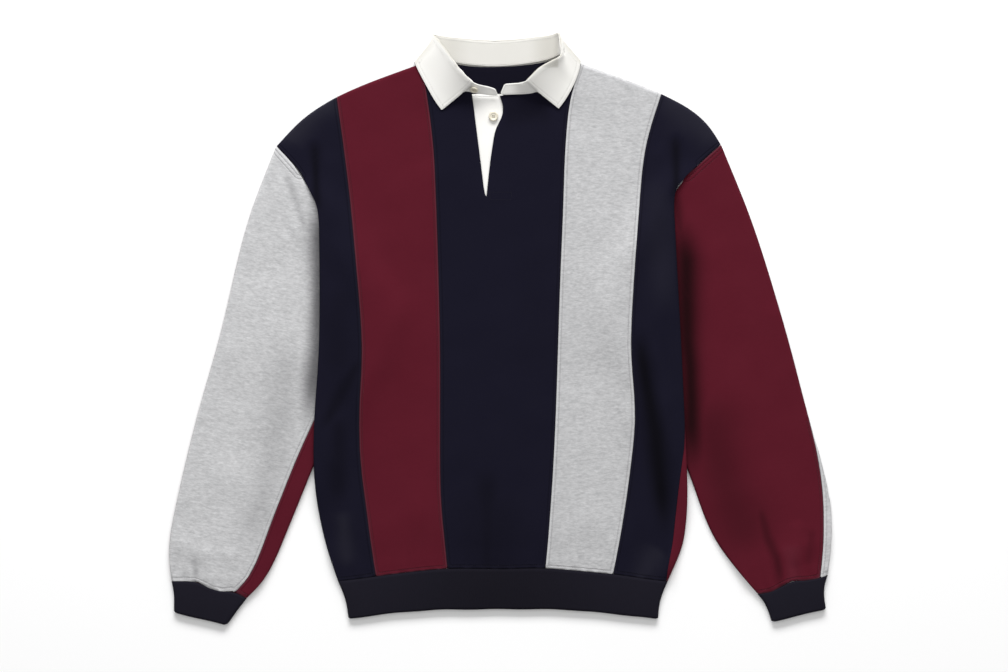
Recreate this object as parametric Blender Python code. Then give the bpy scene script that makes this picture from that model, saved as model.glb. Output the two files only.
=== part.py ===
"""A colour-blocked rugby polo shirt in heavy jersey, laid flat on its back.

X runs to the wearer's left, Y towards the collar and Z up from the surface that the shirt lies
on. "Right" and "left" are the wearer's. Every cut piece of cloth is a wall of its own. The body
and the sleeves are flattened tubes: a point on one is found from its place around the tube (t)
and its place along it (r), and a piece is the stretch between two seams. The body's sides lie
over the inner part of each sleeve, and the neck lies over the back of the collar.
"""

import math

import bmesh
import bpy
import numpy as np
from mathutils import Vector

CLOTH = 0.0018  # heavy jersey
RIB = 0.0021  # doubled rib of the cuffs and the waistband
TWILL = 0.0014  # two layers of collar cloth
STRIP = 0.0012  # placket strips
SEAM = 0.0003  # gap between neighbouring pieces
TUBE = 0.0062  # height of a flattened tube
FOLD_IN = 0.0042  # how far a side fold reaches in before the cloth is flat
OVER_SLEEVE = TUBE + 0.0006  # what the body's sides rise by to lie over a sleeve
OVER_FALL = TWILL + 0.0006  # what the neck rises by to lie over the collar
ARMHOLE_GAP = 0.0006
CUFF_GAP = 0.0009
ARMHOLE_SLANT = 0.87  # distance from the armhole for each metre along x
LIFT_REACH = (-0.045, -0.012)  # the body rises over a sleeve between these distances past its edge
LIFT_ABOVE_END = 0.048  # and over this length above the place where the armhole goes under
SHOWN_REACH = (0.012, 0.040)  # a sleeve's folds begin between these distances past the body
COLLAR_LIFT_Y = (0.286, 0.314)  # the neck rises over the collar between these heights
COLLAR_LIFT_X = (-0.148, -0.118)  # and between these distances from its middle
COLLAR_MIDDLE = -0.005
BLOUSE_HEIGHT = 0.0055  # swell of the cloth above the waistband and the cuffs
BLOUSE_REACH = 0.017
BLOUSE_ENDS = (-0.24, -0.22)  # it fades out between these distances from the body's middle
RIDGE_ENDS = (0.35, 0.3)  # shares of a ridge's length over which its two ends fade
ROLL_BEND = 0.0039  # the collar's height where it turns over
ROLL_SEAM = 0.0012  # the gap along the roll
LEAF_GAP = 0.0008  # between a collar leaf and the front under it
LEAF_ROUND = 0.5  # how far a leaf keeps rising and running out as it turns over, by its width
LAYER_TURN = (0.25, 0.75)  # the leaves come down on the front between these values of layer
SLOPE_STEP = 1e-4  # step for slopes, in units of t and r
COLLAR_STEP = 0.01  # the same along the collar's table

BODY_LENGTH = 0.62  # from the shoulder to the hem, about
HEM_ABOUT = -0.32
NECK_CLOSE = 1.4  # the power by which the body's rows close up towards the neck
TOP_FADE = 4  # the powers by which what is put right at the top fades down the body,
HEM_FADE = 8  # at the hem up the body,
CAP_FADE = 6  # at the armhole down a sleeve,
CUFF_FADE = 10  # and at the cuff up a sleeve
SLEEVE_ROWS = 17
SEAM_RUN = 0.06  # from a sleeve's seams to the columns of its face, in units of t
LAST_RUN = 0.012  # the same from the body's left side seam
ON_FOLD = 2.99  # a side seam past this t lies on the fold
ARMHOLE_OFF = (0.75, -0.66)  # the way from the left armhole into its sleeve
NECK_RAMP = 0.012  # share of the width over which the shoulder fold opens into the neck
AT_FOLD = 0.001  # a t just under a fold
RIB_SWELL = 0.0008
FLY_INSET = 0.0006

PLACKET_BUTTON = (-0.009, 0.281)
COLLAR_BUTTON_AT = 1.75  # its place along the collar's table
COLLAR_BUTTON_UP = 0.45  # its height up the band
COLLAR_BUTTON_RADIUS = 0.0055
BUTTON_SIDES = 18
BUTTON_RADIUS = 0.0064
BUTTON_HEIGHT = 0.0026
BUTTON_RIM = 0.0012
BUTTON_PROFILE = ((1.0, 0.0), (0.0, 0.4), (0.0, 0.7), (0.6, 1.0), (1.6, 1.0), (2.6, 0.77))  # rims_in, up
BUTTON_HOLE = 0.0009
HOLE_SPREAD = 0.0014

NAVY = (0.011, 0.010, 0.019)
MAROON = (0.105, 0.012, 0.023)
GREY = (0.55, 0.55, 0.56)
OFF_WHITE = (0.84, 0.83, 0.78)
BUTTON_WHITE = (0.80, 0.76, 0.66)

# x of the four seams across the front at heights up the body:
# y, maroon_outer, maroon_inner, grey_inner, grey_outer
FRONT_SEAMS = (
    (0.355, -0.222, -0.104, 0.108, 0.226),
    (0.306, -0.216, -0.096, 0.093, 0.211),
    (0.242, -0.207, -0.088, 0.086, 0.192),
    (0.160, -0.197, -0.084, 0.083, 0.183),
    (0.065, -0.188, -0.081, 0.079, 0.176),
    (-0.028, -0.182, -0.079, 0.076, 0.172),
    (-0.117, -0.186, -0.079, 0.073, 0.178),
    (-0.180, -0.184, -0.079, 0.070, 0.172),
    (-0.226, -0.178, -0.078, 0.067, 0.166),
    (-0.279, -0.171, -0.073, 0.063, 0.157),
    (-0.331, -0.163, -0.068, 0.058, 0.147),
)

# The armhole seams and the side folds on each side: y, x
ARMHOLES = {
    "right": ((0.242, -0.295), (0.215, -0.269), (0.160, -0.239), (0.015, -0.152)),
    "left": ((0.244, 0.291), (0.218, 0.260), (0.182, 0.228), (0.015, 0.156)),
}
ARMHOLE_ENDS = {"right": 0.160, "left": 0.182}  # where the armhole goes under the side fold
SIDE_FOLDS = {
    "right": (
        (0.160, -0.239), (0.065, -0.238), (-0.028, -0.239), (-0.117, -0.245),
        (-0.180, -0.246), (-0.226, -0.242), (-0.279, -0.231), (-0.332, -0.214),
    ),
    "left": (
        (0.182, 0.228), (0.065, 0.234), (-0.028, 0.239), (-0.117, 0.243), (-0.180, 0.246),
        (-0.226, 0.247), (-0.279, 0.242), (-0.332, 0.221),
    ),
}

# How far in from the left fold the side seam lies, where the back shows past the front: y, inset
LEFT_SIDE_SEAM = (
    (-0.120, 0.0), (-0.150, 0.0012), (-0.183, 0.0077), (-0.220, 0.0132), (-0.269, 0.0150),
    (-0.314, 0.0079), (-0.332, 0.0020),
)
BACK_SEAM_X = 0.165  # the maroon back side panel starts here

# The hem seam and the waistband's lower edge: x, seam_y, edge_y
HEM = (
    (-0.221, -0.332, -0.383), (-0.200, -0.330, -0.380), (-0.148, -0.323, -0.374),
    (-0.096, -0.317, -0.370), (-0.069, -0.315, -0.3695), (0.000, -0.3155, -0.369),
    (0.059, -0.3145, -0.369), (0.106, -0.318, -0.3705), (0.148, -0.322, -0.3745),
    (0.205, -0.330, -0.380), (0.223, -0.332, -0.383),
)
BAND_SIDES = {"right": (-0.2035, -0.2005), "left": (0.2105, 0.2085)}  # x half way down, at the edge

SHOULDERS = {  # shoulder point, a point on the slope beside it, and neck point
    "right": ((-0.295, 0.242), (-0.262, 0.2765), (-0.217, 0.306), (-0.082, 0.359)),
    "left": ((0.291, 0.244), (0.2735, 0.271), (0.246, 0.2935), (0.081, 0.360)),
}
NECK_FRONT = (
    (-0.082, 0.359), (-0.079, 0.348), (-0.071, 0.335), (-0.059, 0.322), (-0.042, 0.313),
    (-0.021, 0.309), (-0.001, 0.308), (0.022, 0.309), (0.046, 0.311), (0.062, 0.321),
    (0.071, 0.335), (0.078, 0.348), (0.081, 0.360),
)
NECK_BACK = (
    (-0.082, 0.359), (-0.073, 0.352), (-0.057, 0.348), (-0.008, 0.346), (0.040, 0.349),
    (0.065, 0.353), (0.081, 0.360),
)

# The two edges of the placket slit: y, right_edge, left_edge
SLIT = (
    (0.309, -0.0371, -0.0012), (0.296, -0.0354, 0.0036), (0.284, -0.0338, 0.0050),
    (0.268, -0.0318, -0.0058), (0.246, -0.0290, -0.0094), (0.224, -0.0262, -0.0130),
    (0.196, -0.0228, -0.0160), (0.172, -0.0200, -0.0184),
)
SLIT_END = SLIT[-1][0]
NECK_LINES = (0.37, 0.24)  # the neck points' lines run at these shares from the stripes to the slit
SLIT_FADE = 0.030  # below the slit its two lines part again over this length
STAND_WIDTH = 0.041
STAND_UNDER = 0.007  # how far the button stand reaches under the right front
PLACKET_BELOW_NECK = 0.001
PLACKET_PAST_SLIT = 0.004
FLY_BELOW_NECK = 0.004
FLY_PAST_SLIT = 0.008
FLY_EDGE = ((0.309, 0.0345), (0.164, 0.0139))  # its straight free edge: y, x
STRIP_GAP = 0.0004  # between a placket strip and the panel
STRIP_ROW = 0.002  # the least from a strip's end to its next row

SLEEVES = {
    "right": {
        "outer": (
            (-0.295, 0.242), (-0.331, 0.149), (-0.370, -0.009), (-0.401, -0.118),
            (-0.425, -0.219), (-0.4375, -0.284), (-0.4365, -0.318), (-0.4335, -0.331),
        ),
        "inner": (
            (-0.152, 0.015), (-0.198, -0.075), (-0.246, -0.180), (-0.274, -0.249),
            (-0.313, -0.333), (-0.334, -0.354),
        ),
        # how far in from the outer and the inner fold the seams lie: v, outer, inner
        "seams": ((0.0, 0.0, 0.024), (0.5, 0.0, 0.026), (0.8, 0.0, 0.023), (1.0, 0.0, 0.016)),
        # how far the cuff's seam is drawn up from the outer to the inner fold: q, rise
        "wave": (
            (0.0, 0.0), (0.2, 0.0048), (0.35, 0.0070), (0.5, 0.0020), (0.65, 0.0012),
            (0.8, 0.0056), (1.0, 0.0),
        ),
        # the cuff's sides below its seam: outer_x, outer_y, inner_x, inner_y
        "cuff": ((-0.4300, -0.3510, -0.3470, -0.3710), (-0.4310, -0.3730, -0.3605, -0.3905)),
    },
    "left": {
        "outer": (
            (0.291, 0.244), (0.331, 0.145), (0.375, 0.004), (0.409, -0.124), (0.434, -0.211),
            (0.438, -0.260), (0.4365, -0.294), (0.432, -0.323),
        ),
        "inner": (
            (0.156, 0.015), (0.205, -0.087), (0.246, -0.182), (0.282, -0.275),
            (0.314, -0.319), (0.339, -0.348),
        ),
        "seams": (
            (0.0, 0.0, 0.0), (0.66, 0.0, 0.0), (0.72, 0.003, 0.0), (0.81, 0.0096, 0.0),
            (0.89, 0.0125, 0.0), (1.0, 0.0105, 0.0),
        ),
        "wave": (
            (0.0, 0.0), (0.2, -0.0006), (0.35, 0.0016), (0.5, 0.0050), (0.65, 0.0016),
            (0.8, -0.0020), (1.0, 0.0),
        ),
        "cuff": ((0.4265, -0.3430, 0.3505, -0.3630), (0.4300, -0.3690, 0.3580, -0.3860)),
    },
}

# Soft ridges in the upper cloth: x0, y0, x1, y1, half_width, height
BODY_RIDGES = (
    (0.222, 0.170, 0.150, 0.060, 0.016, 0.0040),  # drag from the left underarm
    (0.226, 0.110, 0.190, -0.080, 0.013, 0.0035),
    (0.209, -0.060, 0.206, -0.240, 0.012, 0.0055),  # long fold down the left side
    (0.226, -0.140, 0.196, -0.290, 0.010, 0.0035),
    (-0.232, 0.140, -0.170, 0.030, 0.016, 0.0040),  # drag from the right underarm
    (-0.228, 0.080, -0.200, -0.090, 0.013, 0.0035),
    (-0.222, -0.120, -0.196, -0.300, 0.012, 0.0045),
    (-0.130, 0.220, -0.136, -0.120, 0.030, 0.0022),
    (0.128, 0.250, 0.120, -0.060, 0.030, 0.0024),
    (0.030, 0.080, 0.020, -0.200, 0.034, 0.0022),
    (-0.100, -0.180, -0.112, -0.306, 0.013, 0.0030),  # gathers above the band
    (-0.018, -0.210, -0.020, -0.308, 0.012, 0.0030),
    (0.046, -0.230, 0.040, -0.306, 0.011, 0.0026),
    (0.118, -0.200, 0.112, -0.310, 0.013, 0.0032),
    (0.178, -0.220, 0.172, -0.316, 0.010, 0.0032),
)
SLEEVE_RIDGES = (
    (-0.280, 0.190, -0.262, 0.100, 0.013, 0.0050),  # crease below the right armhole
    (-0.332, 0.090, -0.352, -0.100, 0.028, 0.0030),
    (-0.262, 0.010, -0.312, -0.150, 0.018, 0.0040),
    (-0.404, -0.170, -0.300, -0.225, 0.020, 0.0032),
    (-0.395, -0.262, -0.398, -0.326, 0.012, 0.0040),  # gathers above the right cuff
    (-0.350, -0.250, -0.358, -0.330, 0.010, 0.0036),
    (0.276, 0.190, 0.258, 0.080, 0.013, 0.0050),
    (0.330, 0.080, 0.352, -0.110, 0.028, 0.0030),
    (0.262, 0.000, 0.318, -0.170, 0.018, 0.0040),
    (0.404, -0.180, 0.322, -0.232, 0.020, 0.0032),
    (0.372, -0.240, 0.392, -0.330, 0.012, 0.0046),  # gathers above the left cuff
    (0.412, -0.262, 0.406, -0.318, 0.010, 0.0034),
)

# The collar from its right front end round the back to its left one. layer is 1 where it lies
# over the front and 0 where it lies under the back; roll_rise is the roll's height above the
# neck seam: layer, seam_x, seam_y, roll_x, roll_y, roll_rise, edge_x, edge_y
COLLAR = (
    (1.0, -0.0028, 0.3092, -0.0066, 0.3172, 0.0110, -0.0500, 0.2800),
    (1.0, -0.0210, 0.3102, -0.0165, 0.3205, 0.0125, -0.0640, 0.2850),
    (1.0, -0.0420, 0.3142, -0.0355, 0.3245, 0.0150, -0.0770, 0.2890),
    (1.0, -0.0588, 0.3232, -0.0545, 0.3440, 0.0130, -0.0890, 0.3060),
    (1.0, -0.0705, 0.3360, -0.0690, 0.3640, 0.0090, -0.1000, 0.3260),
    (1.0, -0.0772, 0.3494, -0.0805, 0.3800, 0.0050, -0.1085, 0.3420),
    (0.5, -0.0805, 0.3618, -0.0865, 0.3878, 0.0012, -0.1130, 0.3530),
    (0.0, -0.0712, 0.3560, -0.0780, 0.3862, 0.0001, -0.1095, 0.3485),
    (0.0, -0.0565, 0.3512, -0.0590, 0.3838, 0.0001, -0.0750, 0.3280),
    (0.0, -0.0080, 0.3467, -0.0070, 0.3798, 0.0001, -0.0070, 0.3200),
    (0.0, 0.0400, 0.3512, 0.0430, 0.3840, 0.0001, 0.0560, 0.3260),
    (0.0, 0.0640, 0.3562, 0.0660, 0.3872, 0.0001, 0.0985, 0.3478),
    (0.5, 0.0795, 0.3626, 0.0758, 0.3893, 0.0026, 0.1055, 0.3555),
    (1.0, 0.0788, 0.3600, 0.0774, 0.3745, 0.0090, 0.1045, 0.3430),
    (1.0, 0.0768, 0.3500, 0.0790, 0.3600, 0.0105, 0.0985, 0.3260),
    (1.0, 0.0688, 0.3330, 0.0668, 0.3522, 0.0110, 0.0935, 0.3160),
    (1.0, 0.0618, 0.3222, 0.0495, 0.3420, 0.0135, 0.0880, 0.3060),
    (1.0, 0.0460, 0.3124, 0.0345, 0.3265, 0.0145, 0.0770, 0.2910),
    (1.0, 0.0220, 0.3104, 0.0190, 0.3246, 0.0120, 0.0640, 0.2870),
    (1.0, -0.0004, 0.3096, 0.0056, 0.3238, 0.0110, 0.0500, 0.2820),
)
FALL_FROM, FALL_TO = 2, 17  # the rows between which the fall is sewn to the stand
SIDE_TURNS = ((5, 7), (11, 15))  # the rows between which the collar turns at the sides


def lerp(a, b, f):
    return a + (b - a) * f


def ramp(value, low, high):
    """A smooth step from 0 at low to 1 at high."""
    f = min(max((value - low) / (high - low), 0.0), 1.0)
    return f * f * (3 - 2 * f)


def unit(vector):
    return vector / np.linalg.norm(vector)


def read(table, at, column=1):
    """A column of the table where its first column is `at`, on a smooth curve through its rows."""
    keys = [row[0] for row in table]
    if keys[0] > keys[-1]:
        table, keys = table[::-1], keys[::-1]
    values = [row[column] for row in table]
    slopes = [(values[i + 1] - values[i]) / (keys[i + 1] - keys[i]) for i in range(len(keys) - 1)]
    if at <= keys[0]:
        return values[0] + slopes[0] * (at - keys[0])
    if at >= keys[-1]:
        return values[-1] + slopes[-1] * (at - keys[-1])
    i = max(k for k in range(len(keys) - 1) if keys[k] <= at)
    start = slopes[i] if i == 0 else (slopes[i - 1] + slopes[i]) / 2
    end = slopes[i] if i == len(slopes) - 1 else (slopes[i] + slopes[i + 1]) / 2
    span = keys[i + 1] - keys[i]
    f = (at - keys[i]) / span
    return (
        values[i] * (1 + 2 * f) * (1 - f) ** 2
        + values[i + 1] * f * f * (3 - 2 * f)
        + span * (start * f * (1 - f) ** 2 - end * f * f * (1 - f))
    )


def curve(points):
    """The smooth curve through the points, as a function of the share of its length."""
    rows, length = [(0.0, *points[0])], 0.0
    for a, b in zip(points, points[1:]):
        length += math.dist(a, b)
        rows.append((length, *b))
    table = [(row[0] / length, *row[1:]) for row in rows]
    return lambda f: np.array([read(table, f, 1 + k) for k in range(len(points[0]))])


def ridges(table, x, y):
    """The height that the ridges in the table add at a place."""
    total = 0.0
    for x0, y0, x1, y1, half_width, height in table:
        along = np.array([x1 - x0, y1 - y0])
        length = math.hypot(*along)
        f = ((x - x0) * along[0] + (y - y0) * along[1]) / length**2
        if 0 < f < 1:
            off = ((x - x0) * along[1] - (y - y0) * along[0]) / length
            ends = ramp(f, 0, RIDGE_ENDS[0]) * ramp(1 - f, 0, RIDGE_ENDS[1])
            total += height * ends * math.exp(-((off / half_width) ** 2))
    return total


def swell(distance):
    """The blouse of the cloth at a distance above a ribbed edge."""
    f = max(distance, 0) / BLOUSE_REACH
    return BLOUSE_HEIGHT * f * math.exp(1 - f)


def wall(name, place, columns, rows, thickness, colour, gaps=(SEAM,) * 4, ring=False, cut=None):
    """A cloth wall through place(t, r), which gives its outer face, for columns and rows of it.

    A column is a number or a function of r. gaps are what is trimmed at the first and the last
    column and row, half of each seam. cut(column, row) says that a cell of the wall is left out.
    """

    def at(column, r):
        return column(r) if callable(column) else column

    outer, inner = {}, {}
    for i, column in enumerate(columns):
        for j, r in enumerate(rows):
            t = at(column, r)
            t0, t1 = (t - SLOPE_STEP, t + SLOPE_STEP)
            if not ring:
                t0, t1 = max(t0, at(columns[0], r)), min(t1, at(columns[-1], r))
            r0, r1 = max(r - SLOPE_STEP, rows[0]), min(r + SLOPE_STEP, rows[-1])
            across = unit(place(t1, r) - place(t0, r))
            down = unit(place(t, r1) - place(t, r0))
            outer[i, j] = place(t, r)
            inner[i, j] = outer[i, j] - thickness * unit(np.cross(down, across))
    last_i, last_j = len(columns) - 1, len(rows) - 1
    moves = []
    if not ring:
        moves += [(0, j, 1, j, gaps[0]) for j in range(last_j + 1)]
        moves += [(last_i, j, last_i - 1, j, gaps[1]) for j in range(last_j + 1)]
    moves += [(i, 0, i, 1, gaps[2]) for i in range(last_i + 1)]
    moves += [(i, last_j, i, last_j - 1, gaps[3]) for i in range(last_i + 1)]
    for layer in (outer, inner):
        for i, j, i2, j2, gap in moves:
            layer[i, j] = layer[i, j] + unit(layer[i2, j2] - layer[i, j]) * gap / 2
    solid = bmesh.new()
    made = {}

    def vertex(layer, i, j):
        i %= len(columns)
        key = (layer is inner, i, j)
        if key not in made:
            made[key] = solid.verts.new(layer[i, j])
        return made[key]

    across_cells = range(len(columns) if ring else last_i)
    cells = [(i, j) for i in across_cells for j in range(last_j) if not (cut and cut(i, j))]
    borders = {}
    for i, j in cells:
        corners = [(i, j), (i, j + 1), (i + 1, j + 1), (i + 1, j)]
        solid.faces.new([vertex(outer, *corner) for corner in corners])
        solid.faces.new([vertex(inner, *corner) for corner in reversed(corners)])
        for a, b in zip(corners, corners[1:] + corners[:1]):
            a, b = ((k % len(columns), j2) for k, j2 in (a, b))
            if (b, a) in borders:
                del borders[b, a]
            else:
                borders[a, b] = True
    for a, b in borders:
        corners = [vertex(outer, *b), vertex(outer, *a), vertex(inner, *a), vertex(inner, *b)]
        solid.faces.new(corners)
    return finish(name, solid, colour)


def finish(name, solid, colour):
    mesh = bpy.data.meshes.new(name)
    bmesh.ops.triangulate(solid, faces=solid.faces[:])
    solid.to_mesh(mesh)
    solid.free()
    mesh.shade_smooth()
    mesh.set_sharp_from_angle(angle=math.radians(45))
    mesh.materials.append(material(colour))
    obj = bpy.data.objects.new(name, mesh)
    bpy.context.scene.collection.objects.link(obj)
    return obj


def material(colour):
    name = "cloth_%02d_%02d_%02d" % tuple(round(c * 99) for c in colour)
    made = bpy.data.materials.get(name)
    if made is None:
        made = bpy.data.materials.new(name)
        made.use_nodes = True
        shader = made.node_tree.nodes["Principled BSDF"]
        shader.inputs["Base Color"].default_value = (*colour, 1)
        shader.inputs["Roughness"].default_value = 0.9
        shader.inputs["Metallic"].default_value = 0.0
    return made


def steps(start, end, count):
    """Even stops from start to end; each may be a number or a function of r."""

    def stop(f):
        if callable(start) or callable(end):
            return lambda r: lerp(
                start(r) if callable(start) else start, end(r) if callable(end) else end, f
            )
        return lerp(start, end, f)

    return [stop(k / count) for k in range(count + 1)]


def joined(*runs):
    """Runs of stops, each starting where the one before it ended."""
    return [stop for k, run in enumerate(runs) for stop in (run if k == 0 else run[1:])]


def around_tube(t, width, plan, top, bottom, side_open=0.0, end_share=1.0):
    """A place on a flattened tube. t is 0 at the first fold, 1 to 2 on the upper face, 3 at the
    second fold, 4 to 5 on the lower face and 6 at the first fold again."""
    t %= 6
    upper = t <= 3
    turn = t if upper else 6 - t
    fold = FOLD_IN / width
    if turn < 1:
        angle = turn * math.pi / 2
        q = fold * (1 - math.cos(angle))
    elif turn > 2:
        angle = (3 - turn) * math.pi / 2
        q = 1 - fold * (1 - math.cos(angle))
    else:
        angle = math.pi / 2
        q = lerp(fold, 1 - fold, turn - 1)
    x, y = plan(q)
    low = bottom(x, y)
    middle = low + TUBE / 2
    face = top(x, y) if upper else low
    share = max(math.sin(angle), side_open) * end_share
    return np.array([x, y, middle + (face - middle) * share])


def tube_stop(width, inset, from_second=False):
    """The t on the upper face of a tube at a distance in from one of its folds."""
    if inset < FOLD_IN:
        turn = math.acos(1 - inset / FOLD_IN) / (math.pi / 2)
    else:
        turn = 1 + (inset - FOLD_IN) / (width - 2 * FOLD_IN)
    return 3 - turn if from_second else turn


# The body


def side_x(side, y):
    table = ARMHOLES[side] if y > ARMHOLE_ENDS[side] else SIDE_FOLDS[side]
    return read(table, y)


def under_lift(x, y):
    """How far the body's lower face is raised by the sleeve or the collar under it."""
    side, sign = ("right", -1) if x < 0 else ("left", 1)
    past_armhole = sign * (x - read(ARMHOLES[side], y)) * ARMHOLE_SLANT
    (ax, ay), _, (bx, by) = SLEEVES[side]["inner"][:3]
    fold = math.hypot(bx - ax, by - ay)
    past_fold = sign * ((x - ax) * (ay - by) - (y - ay) * (ax - bx)) / fold
    end = ARMHOLE_ENDS[side]
    sleeve = ramp(past_armhole, *LIFT_REACH) * ramp(past_fold, *LIFT_REACH)
    sleeve *= ramp(-y, -end - LIFT_ABOVE_END, -end)
    collar = ramp(y, *COLLAR_LIFT_Y) * ramp(-abs(x - COLLAR_MIDDLE), *COLLAR_LIFT_X)
    return max(OVER_SLEEVE * sleeve, OVER_FALL * collar)


def hem_y(x):
    return read(HEM, x)


def body_top(x, y):
    blouse = swell(y - hem_y(x)) * ramp(-abs(x), *BLOUSE_ENDS)
    return under_lift(x, y) + TUBE + ridges(BODY_RIDGES, x, y) + blouse


def slit_x(y, column):
    """An edge of the placket slit; below its end its two lines part again."""
    parted = SLIT_FADE * ramp(SLIT_END - y, 0, 2 * SLIT_FADE) / 2
    return read(SLIT, max(y, SLIT_END), column) + (-parted if column == 1 else parted)


def share_at_x(line, x, falling=False):
    """The share of a curve's length at which it passes x."""
    low, high = 0.0, 1.0
    for _ in range(40):
        f = (low + high) / 2
        if (line(f)[0] < x) != falling:
            low = f
        else:
            high = f
    return low


class BodyFace:
    """The plan of one face of the body: lines that run down it, and its edge at the top.

    The top edge is counted from 0 at the right shoulder point over 1 and 2 at the neck points
    to 3 at the left shoulder point.
    """

    def __init__(self, neck, lines):
        self.edges = (curve(SHOULDERS["right"]), curve(neck), curve(SHOULDERS["left"][::-1]))
        self.lines = [line for line, _ in lines]
        self.counts = [self.meet(line, part) for line, part in lines]
        self.ends = [hem_y(line(hem_y(line(HEM_ABOUT)))) for line in self.lines]
        self.neck = [part for _, part in lines].index(1), [part for _, part in lines].index(2)

    def top(self, count):
        part = min(int(count), 2)
        return self.edges[part](count - part)

    def meet(self, line, part):
        """Where a line meets the top edge. A whole number is a corner of it, 0.5 the right
        shoulder, 1.5 the neck and 2.5 the left shoulder."""
        if part == int(part):
            return float(part)
        edge = int(part)
        y = self.edges[edge](0.5)[1]
        for _ in range(30):
            share = share_at_x(self.edges[edge], line(y))
            y = self.edges[edge](share)[1]
        return edge + share

    def point(self, i, v):
        top = self.top(self.counts[i])
        y = lerp(top[1], self.ends[i], v)
        x = self.lines[i](y)
        return np.array([x + (top[0] - x if v == 0 else (top[0] - self.lines[i](top[1])) * (1 - v)), y])

    def shares(self, v):
        xs = [self.point(i, v)[0] for i in range(len(self.lines))]
        return [(x - xs[0]) / (xs[-1] - xs[0]) for x in xs], xs[-1] - xs[0]

    def plan(self, v):
        shares, _ = self.shares(v)

        def at(q):
            i = max(k for k in range(len(shares) - 1) if shares[k] <= q or k == 0)
            f = (q - shares[i]) / (shares[i + 1] - shares[i])
            place = lerp(self.point(i, v), self.point(i + 1, v), f)
            chord = lerp(self.point(i, 0), self.point(i + 1, 0), f)
            edge = self.top(lerp(self.counts[i], self.counts[i + 1], f))
            hem = hem_y(place[0]) - lerp(self.ends[i], self.ends[i + 1], f)
            return place + (1 - v) ** TOP_FADE * (edge - chord) + np.array([0, v**HEM_FADE * hem])

        return at

    def stop(self, i, lower=False):
        """The t of line i, as a function of r."""

        def at(r):
            shares, width = self.shares(body_v(r))
            fold = FOLD_IN / width
            turn = 1 + (shares[i] - fold) / (1 - 2 * fold)
            return 6 - turn if lower else turn

        return at

    def place(self, t, r):
        v = body_v(r)
        shares, width = self.shares(v)
        right = 1.5 > t or t > 4.5
        side, y = ("right", self.point(0, v)[1]) if right else ("left", self.point(-1, v)[1])
        opened = 1.0 if y > ARMHOLE_ENDS[side] else 0.0
        q = min(max((t if t <= 3 else 6 - t) - 1, 0), 1)
        first, second = (shares[k] for k in self.neck)
        neck = ramp(q, first, first + NECK_RAMP) * ramp(-q, -second, -second + NECK_RAMP)
        end_share = max(math.sin(min(r, 1) * math.pi / 2), neck)
        return around_tube(t, width, self.plan(v), body_top, under_lift, opened, end_share)


def body_v(r):
    """r from 0 to 1 turns over the shoulder fold, and from 1 to 2 runs down to the hem."""
    fold = FOLD_IN / BODY_LENGTH
    return fold * (1 - math.cos(r * math.pi / 2)) if r < 1 else lerp(fold, 1, r - 1)


def seam_line(column):
    return lambda y: read(FRONT_SEAMS, y, column)


def between(a, b, f):
    return lambda y: lerp(a(y), b(y), f)


def slit_line(column):
    return lambda y: slit_x(y, column)


FRONT = BodyFace(
    NECK_FRONT,
    (
        (lambda y: side_x("right", y), 0),
        (seam_line(1), 0.5),
        (seam_line(2), 0.5),
        (between(seam_line(2), slit_line(1), NECK_LINES[0]), 1),
        (slit_line(1), 1.5),
        (slit_line(2), 1.5),
        (between(seam_line(3), slit_line(2), NECK_LINES[1]), 2),
        (seam_line(3), 2.5),
        (seam_line(4), 2.5),
        (lambda y: side_x("left", y), 3),
    ),
)
BACK = BodyFace(
    NECK_BACK,
    (
        (lambda y: side_x("right", y), 0),
        (lambda y: SHOULDERS["right"][-1][0], 1),
        (lambda y: SHOULDERS["left"][-1][0], 2),
        (lambda y: BACK_SEAM_X, 2.5),
        (lambda y: side_x("left", y), 3),
    ),
)


def side_seam(r):
    """The t of the left side seam on the upper face, or just under the fold."""
    v = body_v(r)
    inset = read(LEFT_SIDE_SEAM, FRONT.point(-1, v)[1])
    if FRONT.point(-1, v)[1] > LEFT_SIDE_SEAM[0][0]:
        inset = 0.0
    return tube_stop(FRONT.shares(v)[1], max(inset, 0.0), from_second=True)


def body_rows():
    """Stops over the shoulder fold and down the body, closer at the neck and above the hem."""
    neck = [1 + 0.25 * f**NECK_CLOSE for f in steps(0, 1, 8)]
    return [0, 0.4, 0.7] + joined(neck, steps(1.25, 1.9, 12), steps(1.9, 2, 4))


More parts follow.
